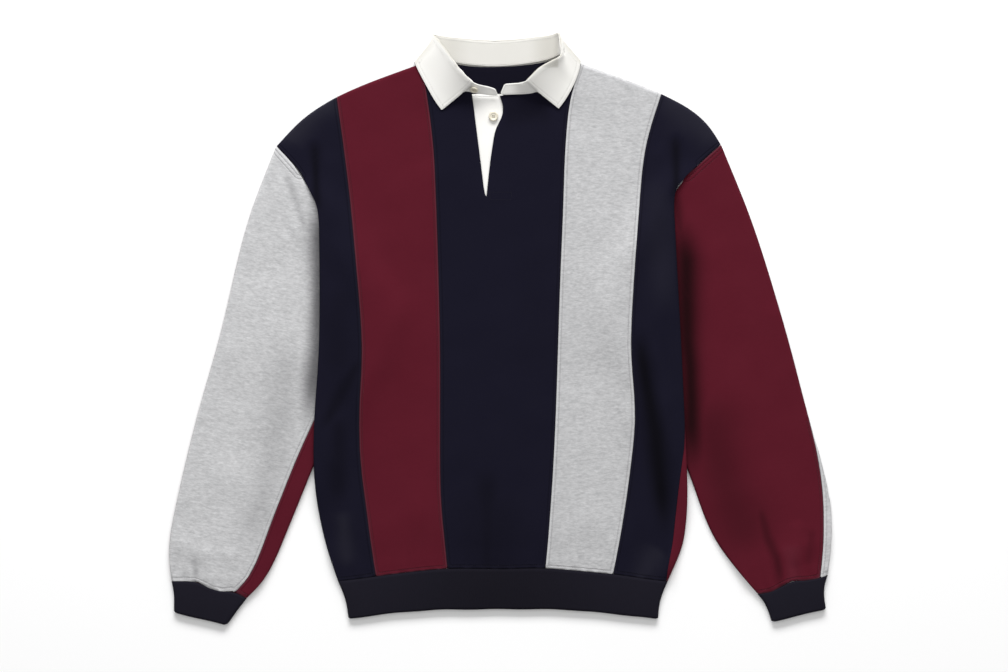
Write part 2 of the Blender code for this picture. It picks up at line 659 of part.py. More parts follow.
def build_body():
    def last_face(r):
        return min(2.0, side_seam(r) - LAST_RUN)

    def back_start(r):
        return max(side_seam(r), 3 + AT_FOLD) if side_seam(r) > ON_FOLD else side_seam(r)

    rows = body_rows()
    slit_rows = [FRONT.point(4, body_v(r))[1] > SLIT_END - PLACKET_PAST_SLIT for r in rows]
    stop = FRONT.stop
    pieces = (
        ("front_side_right", joined(steps(0, 1, 3), steps(1, stop(1), 5)), NAVY, None),
        ("front_stripe_maroon", steps(stop(1), stop(2), 6), MAROON, None),
        (
            "front_centre",
            joined(
                steps(stop(2), stop(3), 2),
                steps(stop(3), stop(4), 3),
                steps(stop(4), stop(5), 1),
                steps(stop(5), stop(6), 4),
                steps(stop(6), stop(7), 2),
            ),
            NAVY,
            lambda i, j: i == 5 and slit_rows[j + 1],
        ),
        ("front_stripe_grey", steps(stop(7), stop(8), 6), GREY, None),
        (
            "front_side_left",
            joined(steps(stop(8), last_face, 5), steps(last_face, side_seam, 3)),
            NAVY,
            None,
        ),
    )
    for name, columns, colour, cut in pieces:
        wall(name, FRONT.place, columns, rows, CLOTH, colour, cut=cut)
    back_seam = BACK.stop(3, lower=True)
    wall(
        "back_side_left",
        BACK.place,
        joined(steps(back_start, 4, 6), steps(4, back_seam, 3)),
        rows,
        CLOTH,
        MAROON,
    )
    wall(
        "back_centre",
        BACK.place,
        joined(
            steps(back_seam, BACK.stop(2, lower=True), 3),
            steps(BACK.stop(2, lower=True), BACK.stop(1, lower=True), 5),
            steps(BACK.stop(1, lower=True), 5, 6),
            steps(5, 6 - AT_FOLD, 3),
        ),
        rows,
        CLOTH,
        NAVY,
    )


def build_band():
    """The waistband: a flat rib tube from the hem seam to its own edge."""
    plan_top = FRONT.plan(1)
    x_right, x_left = plan_top(0)[0], plan_top(1)[0]

    def place(t, r):
        right = read(((0, x_right), (1, BAND_SIDES["right"][0]), (2, BAND_SIDES["right"][1])), r)
        left = read(((0, x_left), (1, BAND_SIDES["left"][0]), (2, BAND_SIDES["left"][1])), r)

        def plan(q):
            x, y = plan_top(q)
            return lerp(right, left, q), lerp(y - SEAM, read(HEM, x, 2), r / 2)

        return around_tube(
            t, left - right, plan, lambda x, y: TUBE + RIB_SWELL * math.sin(r * math.pi / 2),
            lambda x, y: 0.0,
        )

    columns = joined(steps(0, 1, 3), steps(1, 2, 20), steps(2, 4, 6), steps(4, 5, 14), steps(5, 6, 3))
    wall("waistband", place, columns[:-1], steps(0, 2, 3), RIB, NAVY, ring=True)


# The sleeves


def opposite(column):
    return (lambda r: -column(r)) if callable(column) else -column


class Sleeve:
    def __init__(self, side):
        self.side = side
        self.table = SLEEVES[side]
        self.sign = -1 if side == "right" else 1
        self.outer = curve(self.table["outer"])
        self.inner = curve(self.table["inner"])
        self.length = sum(map(math.dist, self.table["outer"], self.table["outer"][1:]))

    def edges(self, v):
        """The outer and the inner fold."""
        return self.outer(v), self.inner(v)

    def down(self):
        """The way that the sleeve runs at its cuff."""
        end, before = (sum(self.edges(v)) for v in (1, 1 - SLOPE_STEP))
        return unit(end - before)

    def wave(self, q):
        """How far the cuff's seam is drawn up the sleeve, as a step in the plan."""
        return -self.down() * read(self.table["wave"], q)

    def plan(self, v):
        """The lines across the sleeve, put right at the armhole, a gap off it, and at the cuff."""
        outer, inner = self.edges(v)
        top, bottom = ARMHOLES[self.side][0][0], ARMHOLES[self.side][-1][0]
        off = np.array([self.sign * ARMHOLE_OFF[0], ARMHOLE_OFF[1]]) * ARMHOLE_GAP

        def at(q):
            y = lerp(top, bottom, q)
            armhole = np.array([read(ARMHOLES[self.side], y), y])
            chord = lerp(self.outer(0), self.inner(0), q)
            cap = (1 - v) ** CAP_FADE * (armhole - chord + off)
            return lerp(outer, inner, q) + cap + v**CUFF_FADE * self.wave(q)

        return at

    def width(self, v):
        return math.dist(*self.edges(v))

    def face(self, v):
        def top(x, y):
            shown = ramp(self.sign * (x - side_x(self.side, y)), *SHOWN_REACH)
            folds = ridges(SLEEVE_RIDGES, x, y) + swell((1 - v) * self.length)
            return TUBE + shown * folds

        return top

    def place(self, t, r):
        return around_tube(t, self.width(r), self.plan(r), self.face(r), lambda x, y: 0.0)

    def outer_seam(self, r):
        return tube_stop(self.width(r), max(read(self.table["seams"], r, 1), 0.0))

    def inner_seam(self, r):
        return tube_stop(self.width(r), max(read(self.table["seams"], r, 2), 0.0), True)

    def build(self, front_colour, back_colour):
        def face_start(r):
            return max(1.0, self.outer_seam(r) + SEAM_RUN)

        def face_end(r):
            return min(2.0, self.inner_seam(r) - SEAM_RUN)

        rows = steps(0, 1, SLEEVE_ROWS)
        front = joined(
            steps(self.outer_seam, face_start, 3),
            steps(face_start, face_end, 6),
            steps(face_end, self.inner_seam, 3),
        )
        back = joined(
            steps(self.inner_seam, 4, 7),
            steps(4, 5, 4),
            steps(5, lambda r: 6 + self.outer_seam(r), 5),
        )
        for part, columns, colour in (("front", front, front_colour), ("back", back, back_colour)):
            name = f"sleeve_{self.side}_{part}"
            self.wall(name, self.place, columns, rows, CLOTH, colour)
        self.build_cuff()

    def wall(self, name, place, columns, *others, **options):
        """A wall whose outer face is outside: the left sleeve is counted round the other way."""
        if self.side == "left":
            columns = [opposite(column) for column in columns[::-1]]
            wall(name, lambda t, r: place(-t, r), columns, *others, **options)
        else:
            wall(name, place, columns, *others, **options)

    def build_cuff(self):
        outer_end, inner_end = (end + self.down() * CUFF_GAP for end in self.edges(1))
        rows = [(0.0, *outer_end, *inner_end)]
        rows += [(1.0 + k, *row) for k, row in enumerate(self.table["cuff"])]

        def place(t, r):
            outer = np.array([read(rows, r, 1), read(rows, r, 2)])
            inner = np.array([read(rows, r, 3), read(rows, r, 4)])
            top = TUBE + RIB_SWELL * math.sin(r * math.pi / 2)

            def plan(q):
                return lerp(outer, inner, q) + (1 - r / 2) ** 2 * self.wave(q)

            return around_tube(
                t, math.dist(outer, inner), plan, lambda x, y: top, lambda x, y: 0.0
            )

        columns = joined(
            steps(0, 1, 3), steps(1, 2, 6), steps(2, 4, 6), steps(4, 5, 4), steps(5, 6, 3)
        )
        self.wall(
            f"cuff_{self.side}", place, columns[:-1], steps(0, 2, 3), RIB, NAVY, ring=True
        )


# The placket


def build_placket():
    """The strips lie on and under the front panel, with points at the panel's own heights.
    Their r is a distance down from y = 0."""
    top = -FRONT.top(FRONT.counts[4])[1]
    panel = [-FRONT.point(5, body_v(r))[1] for r in body_rows()]

    def rows(first, last):
        return [first] + [r for r in panel if first + STRIP_ROW < r < last - STRIP_ROW] + [last]

    def stand(t, r):
        x = slit_x(max(-r, SLIT_END), 1) - STAND_UNDER + t * (STAND_WIDTH + STAND_UNDER)
        return np.array([x, -r, body_top(x, -r) - CLOTH - STRIP_GAP])

    def fly(t, r):
        x = lerp(slit_x(max(-r, SLIT_END), 2) + FLY_INSET, read(FLY_EDGE, -r), t)
        return np.array([x, -r, body_top(x, -r) + STRIP_GAP + STRIP])

    stand_rows = rows(top + PLACKET_BELOW_NECK, PLACKET_PAST_SLIT - SLIT_END)
    fly_rows = rows(top + FLY_BELOW_NECK, FLY_PAST_SLIT - SLIT_END)
    wall("placket_stand", stand, steps(0, 1, 5), stand_rows, STRIP, OFF_WHITE)
    wall("placket_fly", fly, steps(0, 1, 4), fly_rows, STRIP, NAVY)


# The collar


def collar_value(c, column):
    table = [(float(k), *row) for k, row in enumerate(COLLAR)]
    return read(table, c, column + 1)


def stand_points(c):
    """The neck seam's and the roll's points on the collar's neck side."""
    layer = min(max(collar_value(c, 0), 0), 1)
    x, y = collar_value(c, 1), collar_value(c, 2)
    seam_z = lerp(OVER_FALL + CLOTH, body_top(x, y) + SEAM, layer)
    seam = np.array([x, y, seam_z])
    roll = np.array([collar_value(c, 3), collar_value(c, 4), seam_z + collar_value(c, 5)])
    return seam, roll


def stand_place(t, r):
    seam, roll = stand_points(t)
    return lerp(roll, seam, r)


def roll_way(c):
    return unit(stand_points(c + COLLAR_STEP)[1] - stand_points(c - COLLAR_STEP)[1])


def hermite(a, a_slope, b, b_slope, f):
    return (
        a * (1 + 2 * f) * (1 - f) ** 2
        + b * f * f * (3 - 2 * f)
        + a_slope * f * (1 - f) ** 2
        - b_slope * f * f * (1 - f)
    )


def fall_place(t, r):
    """r runs from 0 at the fall's edge over 1, where it leaves the roll, to 2 at the stand."""
    seam, roll = stand_points(t)
    up = unit(roll - seam)
    neckward = unit(np.cross(-up, roll_way(t)))
    turned = roll - ROLL_BEND * neckward
    if r > 1:
        place = hermite(roll, 2 * ROLL_BEND * up, turned, -2 * ROLL_BEND * up, 2 - r)
    else:
        layer = ramp(collar_value(t, 0), *LAYER_TURN)
        x, y = collar_value(t, 6), collar_value(t, 7)
        edge = np.array([x, y, (body_top(x, y) + LEAF_GAP + TWILL) * layer])
        length = math.dist(edge, turned)
        outward = unit(np.array([*(edge - turned)[:2], 0.0]))
        place = hermite(turned, -up * length * LEAF_ROUND, edge, outward * length, 1 - r)
        rest = (body_top(place[0], place[1]) + LEAF_GAP + TWILL) * layer
        place[2] = max(place[2], rest)
    place[2] = max(place[2], 0.0)
    return place


def collar_columns(first, last):
    """Two stops a row of the table, and four where the collar turns at the sides."""
    stops, c = [], float(first)
    while c < last:
        stops.append(c)
        c += 0.25 if any(start <= c < end for start, end in SIDE_TURNS) else 0.5
    return stops + [float(last)]


def build_collar():
    wall(
        "collar_band", stand_place, collar_columns(0, len(COLLAR) - 1), steps(0, 1, 3), TWILL,
        OFF_WHITE, gaps=(0, 0, ROLL_SEAM, 0),
    )
    rows = joined(steps(0, 1, 5), steps(1, 2, 3))
    wall(
        "collar_fall", fall_place, collar_columns(FALL_FROM, FALL_TO), rows, TWILL, OFF_WHITE,
        gaps=(0, 0, 0, ROLL_SEAM),
    )


# The buttons


def build_button(name, centre, normal, radius):
    """A dished four-hole button whose flat back is at `centre`."""
    rim = [(radius - BUTTON_RIM * rims, BUTTON_HEIGHT * up) for rims, up in BUTTON_PROFILE]
    solid = bmesh.new()
    line = [solid.verts.new((x, 0, z)) for x, z in [(0, rim[0][1]), *rim, (0, rim[-1][1])]]
    edges = [solid.edges.new(pair) for pair in zip(line, line[1:])]
    bmesh.ops.spin(
        solid, geom=line + edges, cent=(0, 0, 0), axis=(0, 0, 1), angle=math.tau,
        steps=BUTTON_SIDES, use_merge=True,
    )
    bmesh.ops.remove_doubles(solid, verts=solid.verts[:], dist=1e-6)
    bmesh.ops.recalc_face_normals(solid, faces=solid.faces[:])
    button = finish(name, solid, BUTTON_WHITE)
    cutter = bmesh.new()
    for k in range(4):
        angle = math.pi / 4 + k * math.pi / 2
        made = bmesh.ops.create_cone(
            cutter, cap_ends=True, segments=6, radius1=BUTTON_HOLE, radius2=BUTTON_HOLE,
            depth=4 * BUTTON_HEIGHT,
        )
        hole = (HOLE_SPREAD * math.cos(angle), HOLE_SPREAD * math.sin(angle), 0)
        bmesh.ops.translate(cutter, verts=made["verts"], vec=hole)
    holes = finish(f"{name}_holes", cutter, BUTTON_WHITE)
    holes.hide_render = True
    holes.display_type = "WIRE"
    cut = button.modifiers.new("holes", "BOOLEAN")
    cut.operation = "DIFFERENCE"
    cut.object = holes
    turn = Vector(normal).to_track_quat("Z", "Y")
    for obj in (button, holes):
        obj.rotation_mode = "QUATERNION"
        obj.rotation_quaternion = turn
        obj.location = centre


def build_buttons():
    x, y = PLACKET_BUTTON
    stand_top = body_top(x, y) - CLOTH - STRIP_GAP
    build_button("button_placket", (x, y, stand_top + SEAM), (0, 0, 1), BUTTON_RADIUS)
    seam, roll = stand_points(COLLAR_BUTTON_AT)
    outward = -unit(np.cross(unit(seam - roll), roll_way(COLLAR_BUTTON_AT)))
    centre = lerp(seam, roll, COLLAR_BUTTON_UP) + outward * (TWILL + SEAM)
    build_button("button_collar", tuple(centre), tuple(outward), COLLAR_BUTTON_RADIUS)


def centre_on_floor():
    """Parents every piece to one empty that puts the middle of their box over the origin."""
    bpy.context.view_layer.update()
    graph = bpy.context.evaluated_depsgraph_get()
    corners = []
    shown = [obj for obj in bpy.context.scene.objects if obj.type == "MESH"]
    for obj in shown:
        if not obj.hide_render:
            mesh = obj.evaluated_get(graph).to_mesh()
            points = np.empty(len(mesh.vertices) * 3, np.float32)
            mesh.vertices.foreach_get("co", points)
            turned = np.array(obj.matrix_world)
            points = points.reshape(-1, 3) @ turned[:3, :3].T + turned[:3, 3]
            corners += [points.min(axis=0), points.max(axis=0)]
            obj.evaluated_get(graph).to_mesh_clear()
    middle = (np.min(corners, axis=0) + np.max(corners, axis=0)) / 2
    shirt = bpy.data.objects.new("shirt", None)
    bpy.context.scene.collection.objects.link(shirt)
    shirt.location = (-middle[0], -middle[1], 0)
    for obj in shown:
        obj.parent = shirt


def main():
    for obj in list(bpy.data.objects):
        bpy.data.objects.remove(obj)
    build_body()
    build_band()
    Sleeve("right").build(GREY, MAROON)
    Sleeve("left").build(MAROON, GREY)
    build_placket()
    build_collar()
    build_buttons()
    centre_on_floor()


main()
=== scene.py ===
import math

import bmesh
import bpy
import numpy as np
from mathutils import Matrix, Vector
from mathutils.bvhtree import BVHTree


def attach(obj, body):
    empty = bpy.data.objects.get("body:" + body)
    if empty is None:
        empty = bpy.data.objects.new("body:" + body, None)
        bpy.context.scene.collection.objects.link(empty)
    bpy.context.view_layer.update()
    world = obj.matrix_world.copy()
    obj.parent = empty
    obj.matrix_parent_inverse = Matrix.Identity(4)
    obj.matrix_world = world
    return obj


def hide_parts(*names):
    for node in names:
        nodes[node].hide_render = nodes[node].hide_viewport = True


# A rugby polo in heavy brushed jersey, laid flat on its back and seen from straight above.
# +X is the wearer's left, +Y runs to the collar and +Z up. All lengths are in metres.

print("loading the frame")
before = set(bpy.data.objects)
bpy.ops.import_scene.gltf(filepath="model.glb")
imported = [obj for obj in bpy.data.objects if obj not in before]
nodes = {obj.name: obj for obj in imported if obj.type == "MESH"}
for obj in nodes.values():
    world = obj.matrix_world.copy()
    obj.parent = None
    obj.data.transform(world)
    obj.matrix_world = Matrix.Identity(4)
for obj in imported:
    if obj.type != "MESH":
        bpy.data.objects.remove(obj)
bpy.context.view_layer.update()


def smoothStep(value, low, high):
    f = np.clip((value - low) / (high - low), 0, 1)
    return f * f * (3 - 2 * f)


def readPoints(mesh):
    flat = np.empty(len(mesh.vertices) * 3, np.float32)
    mesh.vertices.foreach_get("co", flat)
    return flat.reshape(-1, 3).astype(float)


def writePoints(mesh, points):
    mesh.vertices.foreach_set("co", points.astype(np.float32).ravel())
    mesh.update()


def readNormals(mesh):
    flat = np.empty(len(mesh.vertices) * 3, np.float32)
    mesh.vertices.foreach_get("normal", flat)
    return flat.reshape(-1, 3).astype(float)


def keepValues(mesh, name, values):
    # One number at each vertex, for the materials to read.
    mesh.attributes.new(name, "FLOAT", "POINT").data.foreach_set("value", values.astype(np.float32))


def newPiece(name, mesh, material):
    piece = bpy.data.objects.new(name, mesh)
    bpy.context.scene.collection.objects.link(piece)
    mesh.materials.clear()
    mesh.materials.append(material)
    return piece


def shadeRound(mesh, degrees=40):
    mesh.shade_smooth()
    mesh.set_sharp_from_angle(angle=math.radians(degrees))


print("making the materials")


def newGroup(name, inputs, outputs):
    group = bpy.data.node_groups.new(name, "ShaderNodeTree")
    for socketName, kind, value in inputs:
        socket = group.interface.new_socket(socketName, in_out="INPUT", socket_type=kind)
        if value is not None:
            socket.default_value = value
    for socketName, kind in outputs:
        group.interface.new_socket(socketName, in_out="OUTPUT", socket_type=kind)
    return group, group.nodes.new("NodeGroupInput"), group.nodes.new("NodeGroupOutput")


def addNode(tree, kind, **values):
    node = tree.nodes.new(kind)
    for name, value in values.items():
        if hasattr(node, name):
            setattr(node, name, value)
        else:
            node.inputs[name.replace("_", " ")].default_value = value
    return node


def mathNode(tree, operation, a, b=None, clamp=False):
    node = tree.nodes.new("ShaderNodeMath")
    node.operation = operation
    node.use_clamp = clamp
    for socket, value in zip(node.inputs, (a, b)):
        if isinstance(value, (int, float)):
            socket.default_value = value
        elif value is not None:
            tree.links.new(value, socket)
    return node.outputs[0]


def mixColour(tree, factor, a, b):
    node = tree.nodes.new("ShaderNodeMix")
    node.data_type = "RGBA"
    for name, value in (("Factor", factor), ("A", a), ("B", b)):
        socket = next(s for s in node.inputs if s.name == name and s.enabled)
        if isinstance(value, (int, float, tuple)):
            socket.default_value = value
        else:
            tree.links.new(value, socket)
    return next(s for s in node.outputs if s.enabled)


def buildKnitGroup():
    # Fine stocking-stitch columns and a brushed nap.
    group, ins, outs = newGroup(
        "knitFace",
        [("Vector", "NodeSocketVector", None), ("Wale", "NodeSocketFloat", 900.0),
         ("Nap", "NodeSocketFloat", 0.5)],
        [("Height", "NodeSocketFloat")],
    )
    link = group.links.new
    split = addNode(group, "ShaderNodeSeparateXYZ")
    link(ins.outputs["Vector"], split.inputs[0])
    across = mathNode(group, "MULTIPLY", split.outputs["X"], ins.outputs["Wale"])
    down = mathNode(group, "MULTIPLY", split.outputs["Y"], ins.outputs["Wale"])
    wale = mathNode(group, "SINE", mathNode(group, "MULTIPLY", across, math.pi))
    waleWave = mathNode(group, "ABSOLUTE", wale)
    slant = mathNode(group, "PINGPONG", across, 0.5)
    course = mathNode(group, "SINE", mathNode(
        group, "MULTIPLY", mathNode(group, "ADD", mathNode(group, "MULTIPLY", down, 1.3), slant), math.tau))
    stitches = mathNode(
        group, "ADD", mathNode(group, "MULTIPLY", waleWave, 0.7), mathNode(group, "MULTIPLY", course, 0.22))
    nap = addNode(group, "ShaderNodeTexNoise", Scale=1500, Detail=3)
    link(ins.outputs["Vector"], nap.inputs["Vector"])
    fibre = mathNode(group, "MULTIPLY", nap.outputs[0], ins.outputs["Nap"])
    link(mathNode(group, "ADD", stitches, fibre), outs.inputs["Height"])
    return group


def buildHeatherGroup():
    # Marl: short flecks of darker yarn that lie along the knitted courses, in soft clouds.
    group, ins, outs = newGroup(
        "heather",
        [("Vector", "NodeSocketVector", None), ("Fleck", "NodeSocketFloat", 1.0)],
        [("Mask", "NodeSocketFloat"), ("Cloud", "NodeSocketFloat")],
    )
    link = group.links.new
    total = None
    for scale, stretch, weight in ((230, 3.2, 0.5), (105, 3.0, 0.42), (820, 2.5, 0.3)):
        mapping = addNode(group, "ShaderNodeMapping", Scale=(1, stretch, 1))
        link(ins.outputs["Vector"], mapping.inputs["Vector"])
        noise = addNode(group, "ShaderNodeTexNoise", Scale=scale, Detail=2)
        link(mapping.outputs[0], noise.inputs["Vector"])
        part = mathNode(group, "MULTIPLY", mathNode(group, "SUBTRACT", noise.outputs[0], 0.5), weight * 2)
        total = part if total is None else mathNode(group, "ADD", total, part)
    mask = mathNode(group, "MULTIPLY", total, ins.outputs["Fleck"])
    link(mathNode(group, "ADD", mask, 0.5, clamp=True), outs.inputs["Mask"])
    cloud = addNode(group, "ShaderNodeTexNoise", Scale=26, Detail=2)
    link(ins.outputs["Vector"], cloud.inputs["Vector"])
    link(cloud.outputs[0], outs.inputs["Cloud"])
    return group


def addRamp(tree, value, reach, stops):
    # A soft curve through (distance, value) stops, with distances up to `reach`.
    ramp = tree.nodes.new("ShaderNodeValToRGB")
    ramp.color_ramp.interpolation = "EASE"
    for k, (distance, level) in enumerate(stops):
        stop = ramp.color_ramp.elements[k] if k < 2 else ramp.color_ramp.elements.new(distance / reach)
        stop.position = distance / reach
        stop.color = (level, level, level, 1)
    tree.links.new(mathNode(tree, "DIVIDE", value, reach), ramp.inputs[0])
    return ramp.outputs[0]


def buildSeamGroup():
    # What lies along a seam: the turned lip, the needle's groove with the shade painted in it, and the pale
    # line of thread.
    group, ins, outs = newGroup(
        "seamEdge",
        [("Distance", "NodeSocketFloat", 1.0), ("ArmDistance", "NodeSocketFloat", 1.0),
         ("Line", "NodeSocketFloat", 1.0)],
        [("Height", "NodeSocketFloat"), ("Thread", "NodeSocketFloat"), ("Groove", "NodeSocketFloat")],
    )
    reach = 0.012
    lip = addRamp(group, ins.outputs["Distance"], reach, (
        (0.0, 0.0), (0.0008, 0.85), (0.0020, 1.0), (0.0030, 0.75), (0.0039, 0.20), (0.0052, 0.68),
        (0.0090, 0.62)))
    groove = addRamp(group, ins.outputs["Distance"], reach, (
        (0.0, 0.0), (0.0026, 0.0), (0.0038, 1.0), (0.0052, 0.0)))
    second = addRamp(group, ins.outputs["ArmDistance"], reach, (
        (0.0, 0.0), (0.0068, 0.0), (0.0084, 1.0), (0.0100, 0.0)))
    group.links.new(
        mathNode(group, "SUBTRACT", lip, mathNode(group, "MULTIPLY", second, 0.5)), outs.inputs["Height"])
    group.links.new(mathNode(group, "ADD", groove, second, clamp=True), outs.inputs["Groove"])
    line = addRamp(group, ins.outputs["Distance"], reach, ((0.0, 0.75), (0.0009, 1.0), (0.0024, 0.0)))
    group.links.new(mathNode(group, "MULTIPLY", line, ins.outputs["Line"]), outs.inputs["Thread"])
    return group


knitGroup = buildKnitGroup()
heatherGroup = buildHeatherGroup()
seamGroup = buildSeamGroup()


def startMaterial(name, roughness, specular, sheen=0.0, sheenTint=(1, 1, 1), turn=0.0):
    made = bpy.data.materials.new(name)
    made.use_nodes = True
    tree = made.node_tree
    shader = tree.nodes["Principled BSDF"]
    for socket, value in (
        ("Roughness", roughness), ("Specular IOR Level", specular), ("Sheen Weight", sheen),
        ("Sheen Roughness", 0.55), ("Sheen Tint", (*sheenTint, 1)),
    ):
        shader.inputs[socket].default_value = value
    place = addNode(tree, "ShaderNodeTexCoord")
    mapping = addNode(tree, "ShaderNodeMapping", Rotation=(0, 0, turn))
    tree.links.new(place.outputs["Object"], mapping.inputs["Vector"])
    return made, tree, shader, mapping.outputs[0]


def addGroup(tree, group, vector, **values):
    node = tree.nodes.new("ShaderNodeGroup")
    node.node_tree = group
    if vector is not None:
        tree.links.new(vector, node.inputs["Vector"])
    for name, value in values.items():
        node.inputs[name].default_value = value
    return node


def addBump(tree, shader, height, distance, below=None):
    bump = addNode(tree, "ShaderNodeBump", Distance=distance)
    tree.links.new(height, bump.inputs["Height"])
    if below is not None:
        tree.links.new(below.outputs[0], bump.inputs["Normal"])
    tree.links.new(bump.outputs[0], shader.inputs["Normal"])
    return bump


def readAttribute(tree, name):
    return addNode(tree, "ShaderNodeAttribute", attribute_name=name).outputs["Fac"]


def jerseyMaterial(name, look, turn=0.0):
    made, tree, shader, vector = startMaterial(
        name, look["roughness"], look["specular"], look["sheen"], look["sheenTint"], turn)
    knit = addGroup(tree, knitGroup, vector, Wale=look["wale"], Nap=look["nap"])
    heather = addGroup(tree, heatherGroup, vector, Fleck=look["fleck"])
    seam = addGroup(tree, seamGroup, None, Line=look["line"])
    tree.links.new(readAttribute(tree, "seamDistance"), seam.inputs["Distance"])
    tree.links.new(readAttribute(tree, "armDistance"), seam.inputs["ArmDistance"])
    dark, light, washed, lit, thread, paintedShade = (
        tuple(look[key]) + (1,) for key in ("dark", "light", "washed", "lit", "thread", "paintedShade"))
    flecked = mixColour(tree, heather.outputs["Mask"], dark, light)
    cloud = mathNode(tree, "SUBTRACT", heather.outputs["Cloud"], look["clear"], clamp=True)
    cloth = mixColour(tree, mathNode(tree, "MULTIPLY", cloud, look["wash"]), flecked, washed)
    cloth = mixColour(tree, seam.outputs["Thread"], cloth, thread)
    # Painted shade in the needle's groove along the seams.
    sunk = mathNode(tree, "MULTIPLY", seam.outputs["Groove"], look["groove"])
    shade = readAttribute(tree, "paintedShade")  # painted shade; below 0 it is painted light, a painted highlight for the sheen of the nap
    cloth = mixColour(tree, mathNode(tree, "MULTIPLY", shade, -1.0, clamp=True), cloth, lit)
    cloth = mixColour(tree, mathNode(tree, "MAXIMUM", shade, sunk), cloth, paintedShade)
    tree.links.new(cloth, shader.inputs["Base Color"])
    knitted = addBump(tree, shader, knit.outputs["Height"], look["bump"])
    addBump(tree, shader, seam.outputs["Height"], look["seamBump"], knitted)
    return made


jersey = {
    "roughness": 0.92, "specular": 0.06, "sheen": 0.02, "wale": 1100.0, "nap": 0.5, "bump": 0.00006,
    "clear": 0.42, "seamBump": 0.0007,
}
# In each look, "lit" is the colour of the painted light, and the darkest colour is that of the painted shade.
jerseyLooks = {
    "navy": {
        **jersey, "fleck": 0.5, "wash": 0.4, "sheenTint": (0.30, 0.30, 0.42),
        "dark": (0.0062, 0.0057, 0.0132), "light": (0.0076, 0.0070, 0.0160),
        "washed": (0.0090, 0.0083, 0.0168), "lit": (0.030, 0.029, 0.040), "paintedShade": (0.0016, 0.0013, 0.0024),
        "thread": (0.0115, 0.0108, 0.0175), "line": 0.5, "groove": 0.25,
    },
    "maroon": {
        **jersey, "fleck": 0.6, "wash": 0.5, "sheenTint": (0.75, 0.35, 0.40),
        "dark": (0.080, 0.0071, 0.0152), "light": (0.091, 0.0083, 0.0177),
        "washed": (0.100, 0.0115, 0.0215), "lit": (0.125, 0.020, 0.034), "paintedShade": (0.0045, 0.0012, 0.0016),
        "thread": (0.088, 0.030, 0.042), "line": 0.6, "groove": 0.14,
    },
    "grey": {
        **jersey, "fleck": 1.1, "wash": 0.35, "nap": 0.6, "bump": 0.00007,
        "specular": 0.1, "sheenTint": (0.8, 0.8, 0.8),
        "dark": (0.338, 0.338, 0.345), "light": (0.588, 0.588, 0.595),
        "washed": (0.51, 0.51, 0.518), "lit": (0.66, 0.66, 0.67), "paintedShade": (0.062, 0.060, 0.066),
        "thread": (0.57, 0.57, 0.575), "line": 0.7, "groove": 0.14,
    },
    "rib": {
        **jersey, "fleck": 0.5, "wash": 0.4, "sheen": 0.03, "sheenTint": (0.32, 0.30, 0.40),
        "dark": (0.0091, 0.0083, 0.0136), "light": (0.0113, 0.0103, 0.0168),
        "washed": (0.0124, 0.0114, 0.0176), "lit": (0.030, 0.029, 0.040), "paintedShade": (0.0030, 0.0026, 0.0040),
        "thread": (0.0080, 0.0072, 0.0115), "line": 0.0, "groove": 0.0,
    },
}


def twillMaterial(name):
    look = {
        "colour": (0.860, 0.853, 0.830, 1), "shade": (0.815, 0.802, 0.765, 1),
        "paintedShade": (0.48, 0.465, 0.42, 1), "pitch": 2600.0, "weave": 0.00004, "seam": 0.0002,
    }
    made, tree, shader, vector = startMaterial(name, 0.82, 0.25)
    split = addNode(tree, "ShaderNodeSeparateXYZ")
    tree.links.new(vector, split.inputs[0])
    diagonal = mathNode(tree, "ADD", split.outputs["X"], split.outputs["Y"])
    lines = mathNode(tree, "SINE", mathNode(tree, "MULTIPLY", diagonal, look["pitch"]))
    heather = addGroup(tree, heatherGroup, vector, Fleck=0.8)
    seam = addGroup(tree, seamGroup, None, Line=0.0)
    tree.links.new(readAttribute(tree, "seamDistance"), seam.inputs["Distance"])
    worn = mathNode(tree, "MULTIPLY", heather.outputs["Cloud"], 0.8)
    cloth = mixColour(tree, worn, look["colour"], look["shade"])
    # Painted shade: where the collar turns under, on the leaves, and where the white turns to the lamp.
    cloth = mixColour(tree, readAttribute(tree, "paintedShade"), cloth, look["paintedShade"])
    tree.links.new(cloth, shader.inputs["Base Color"])
    height = mathNode(tree, "ADD", mathNode(tree, "MULTIPLY", lines, 0.4), heather.outputs["Mask"])
    woven = addBump(tree, shader, height, look["weave"])
    addBump(tree, shader, seam.outputs["Height"], look["seam"], woven)
    return made


def threadMaterial(name, colour):
    made, tree, shader, vector = startMaterial(name, 0.7, 0.2)
    twist = addNode(tree, "ShaderNodeTexNoise", Scale=2200)
    tree.links.new(vector, twist.inputs["Vector"])
    darker = tuple(0.7 * c for c in colour) + (1,)
    tree.links.new(mixColour(tree, twist.outputs[0], darker, (*colour, 1)), shader.inputs["Base Color"])
    addBump(tree, shader, twist.outputs[0], 0.0001)
    return made


def resinMaterial(name):
    made, tree, shader, vector = startMaterial(name, 0.34, 0.5)
    cloud = addNode(tree, "ShaderNodeTexNoise", Scale=260)
    tree.links.new(vector, cloud.inputs["Vector"])
    tree.links.new(
        mixColour(tree, cloud.outputs[0], (0.62, 0.57, 0.44, 1), (0.76, 0.72, 0.62, 1)),
        shader.inputs["Base Color"])
    addBump(tree, shader, cloud.outputs[0], 0.00004)
    return made


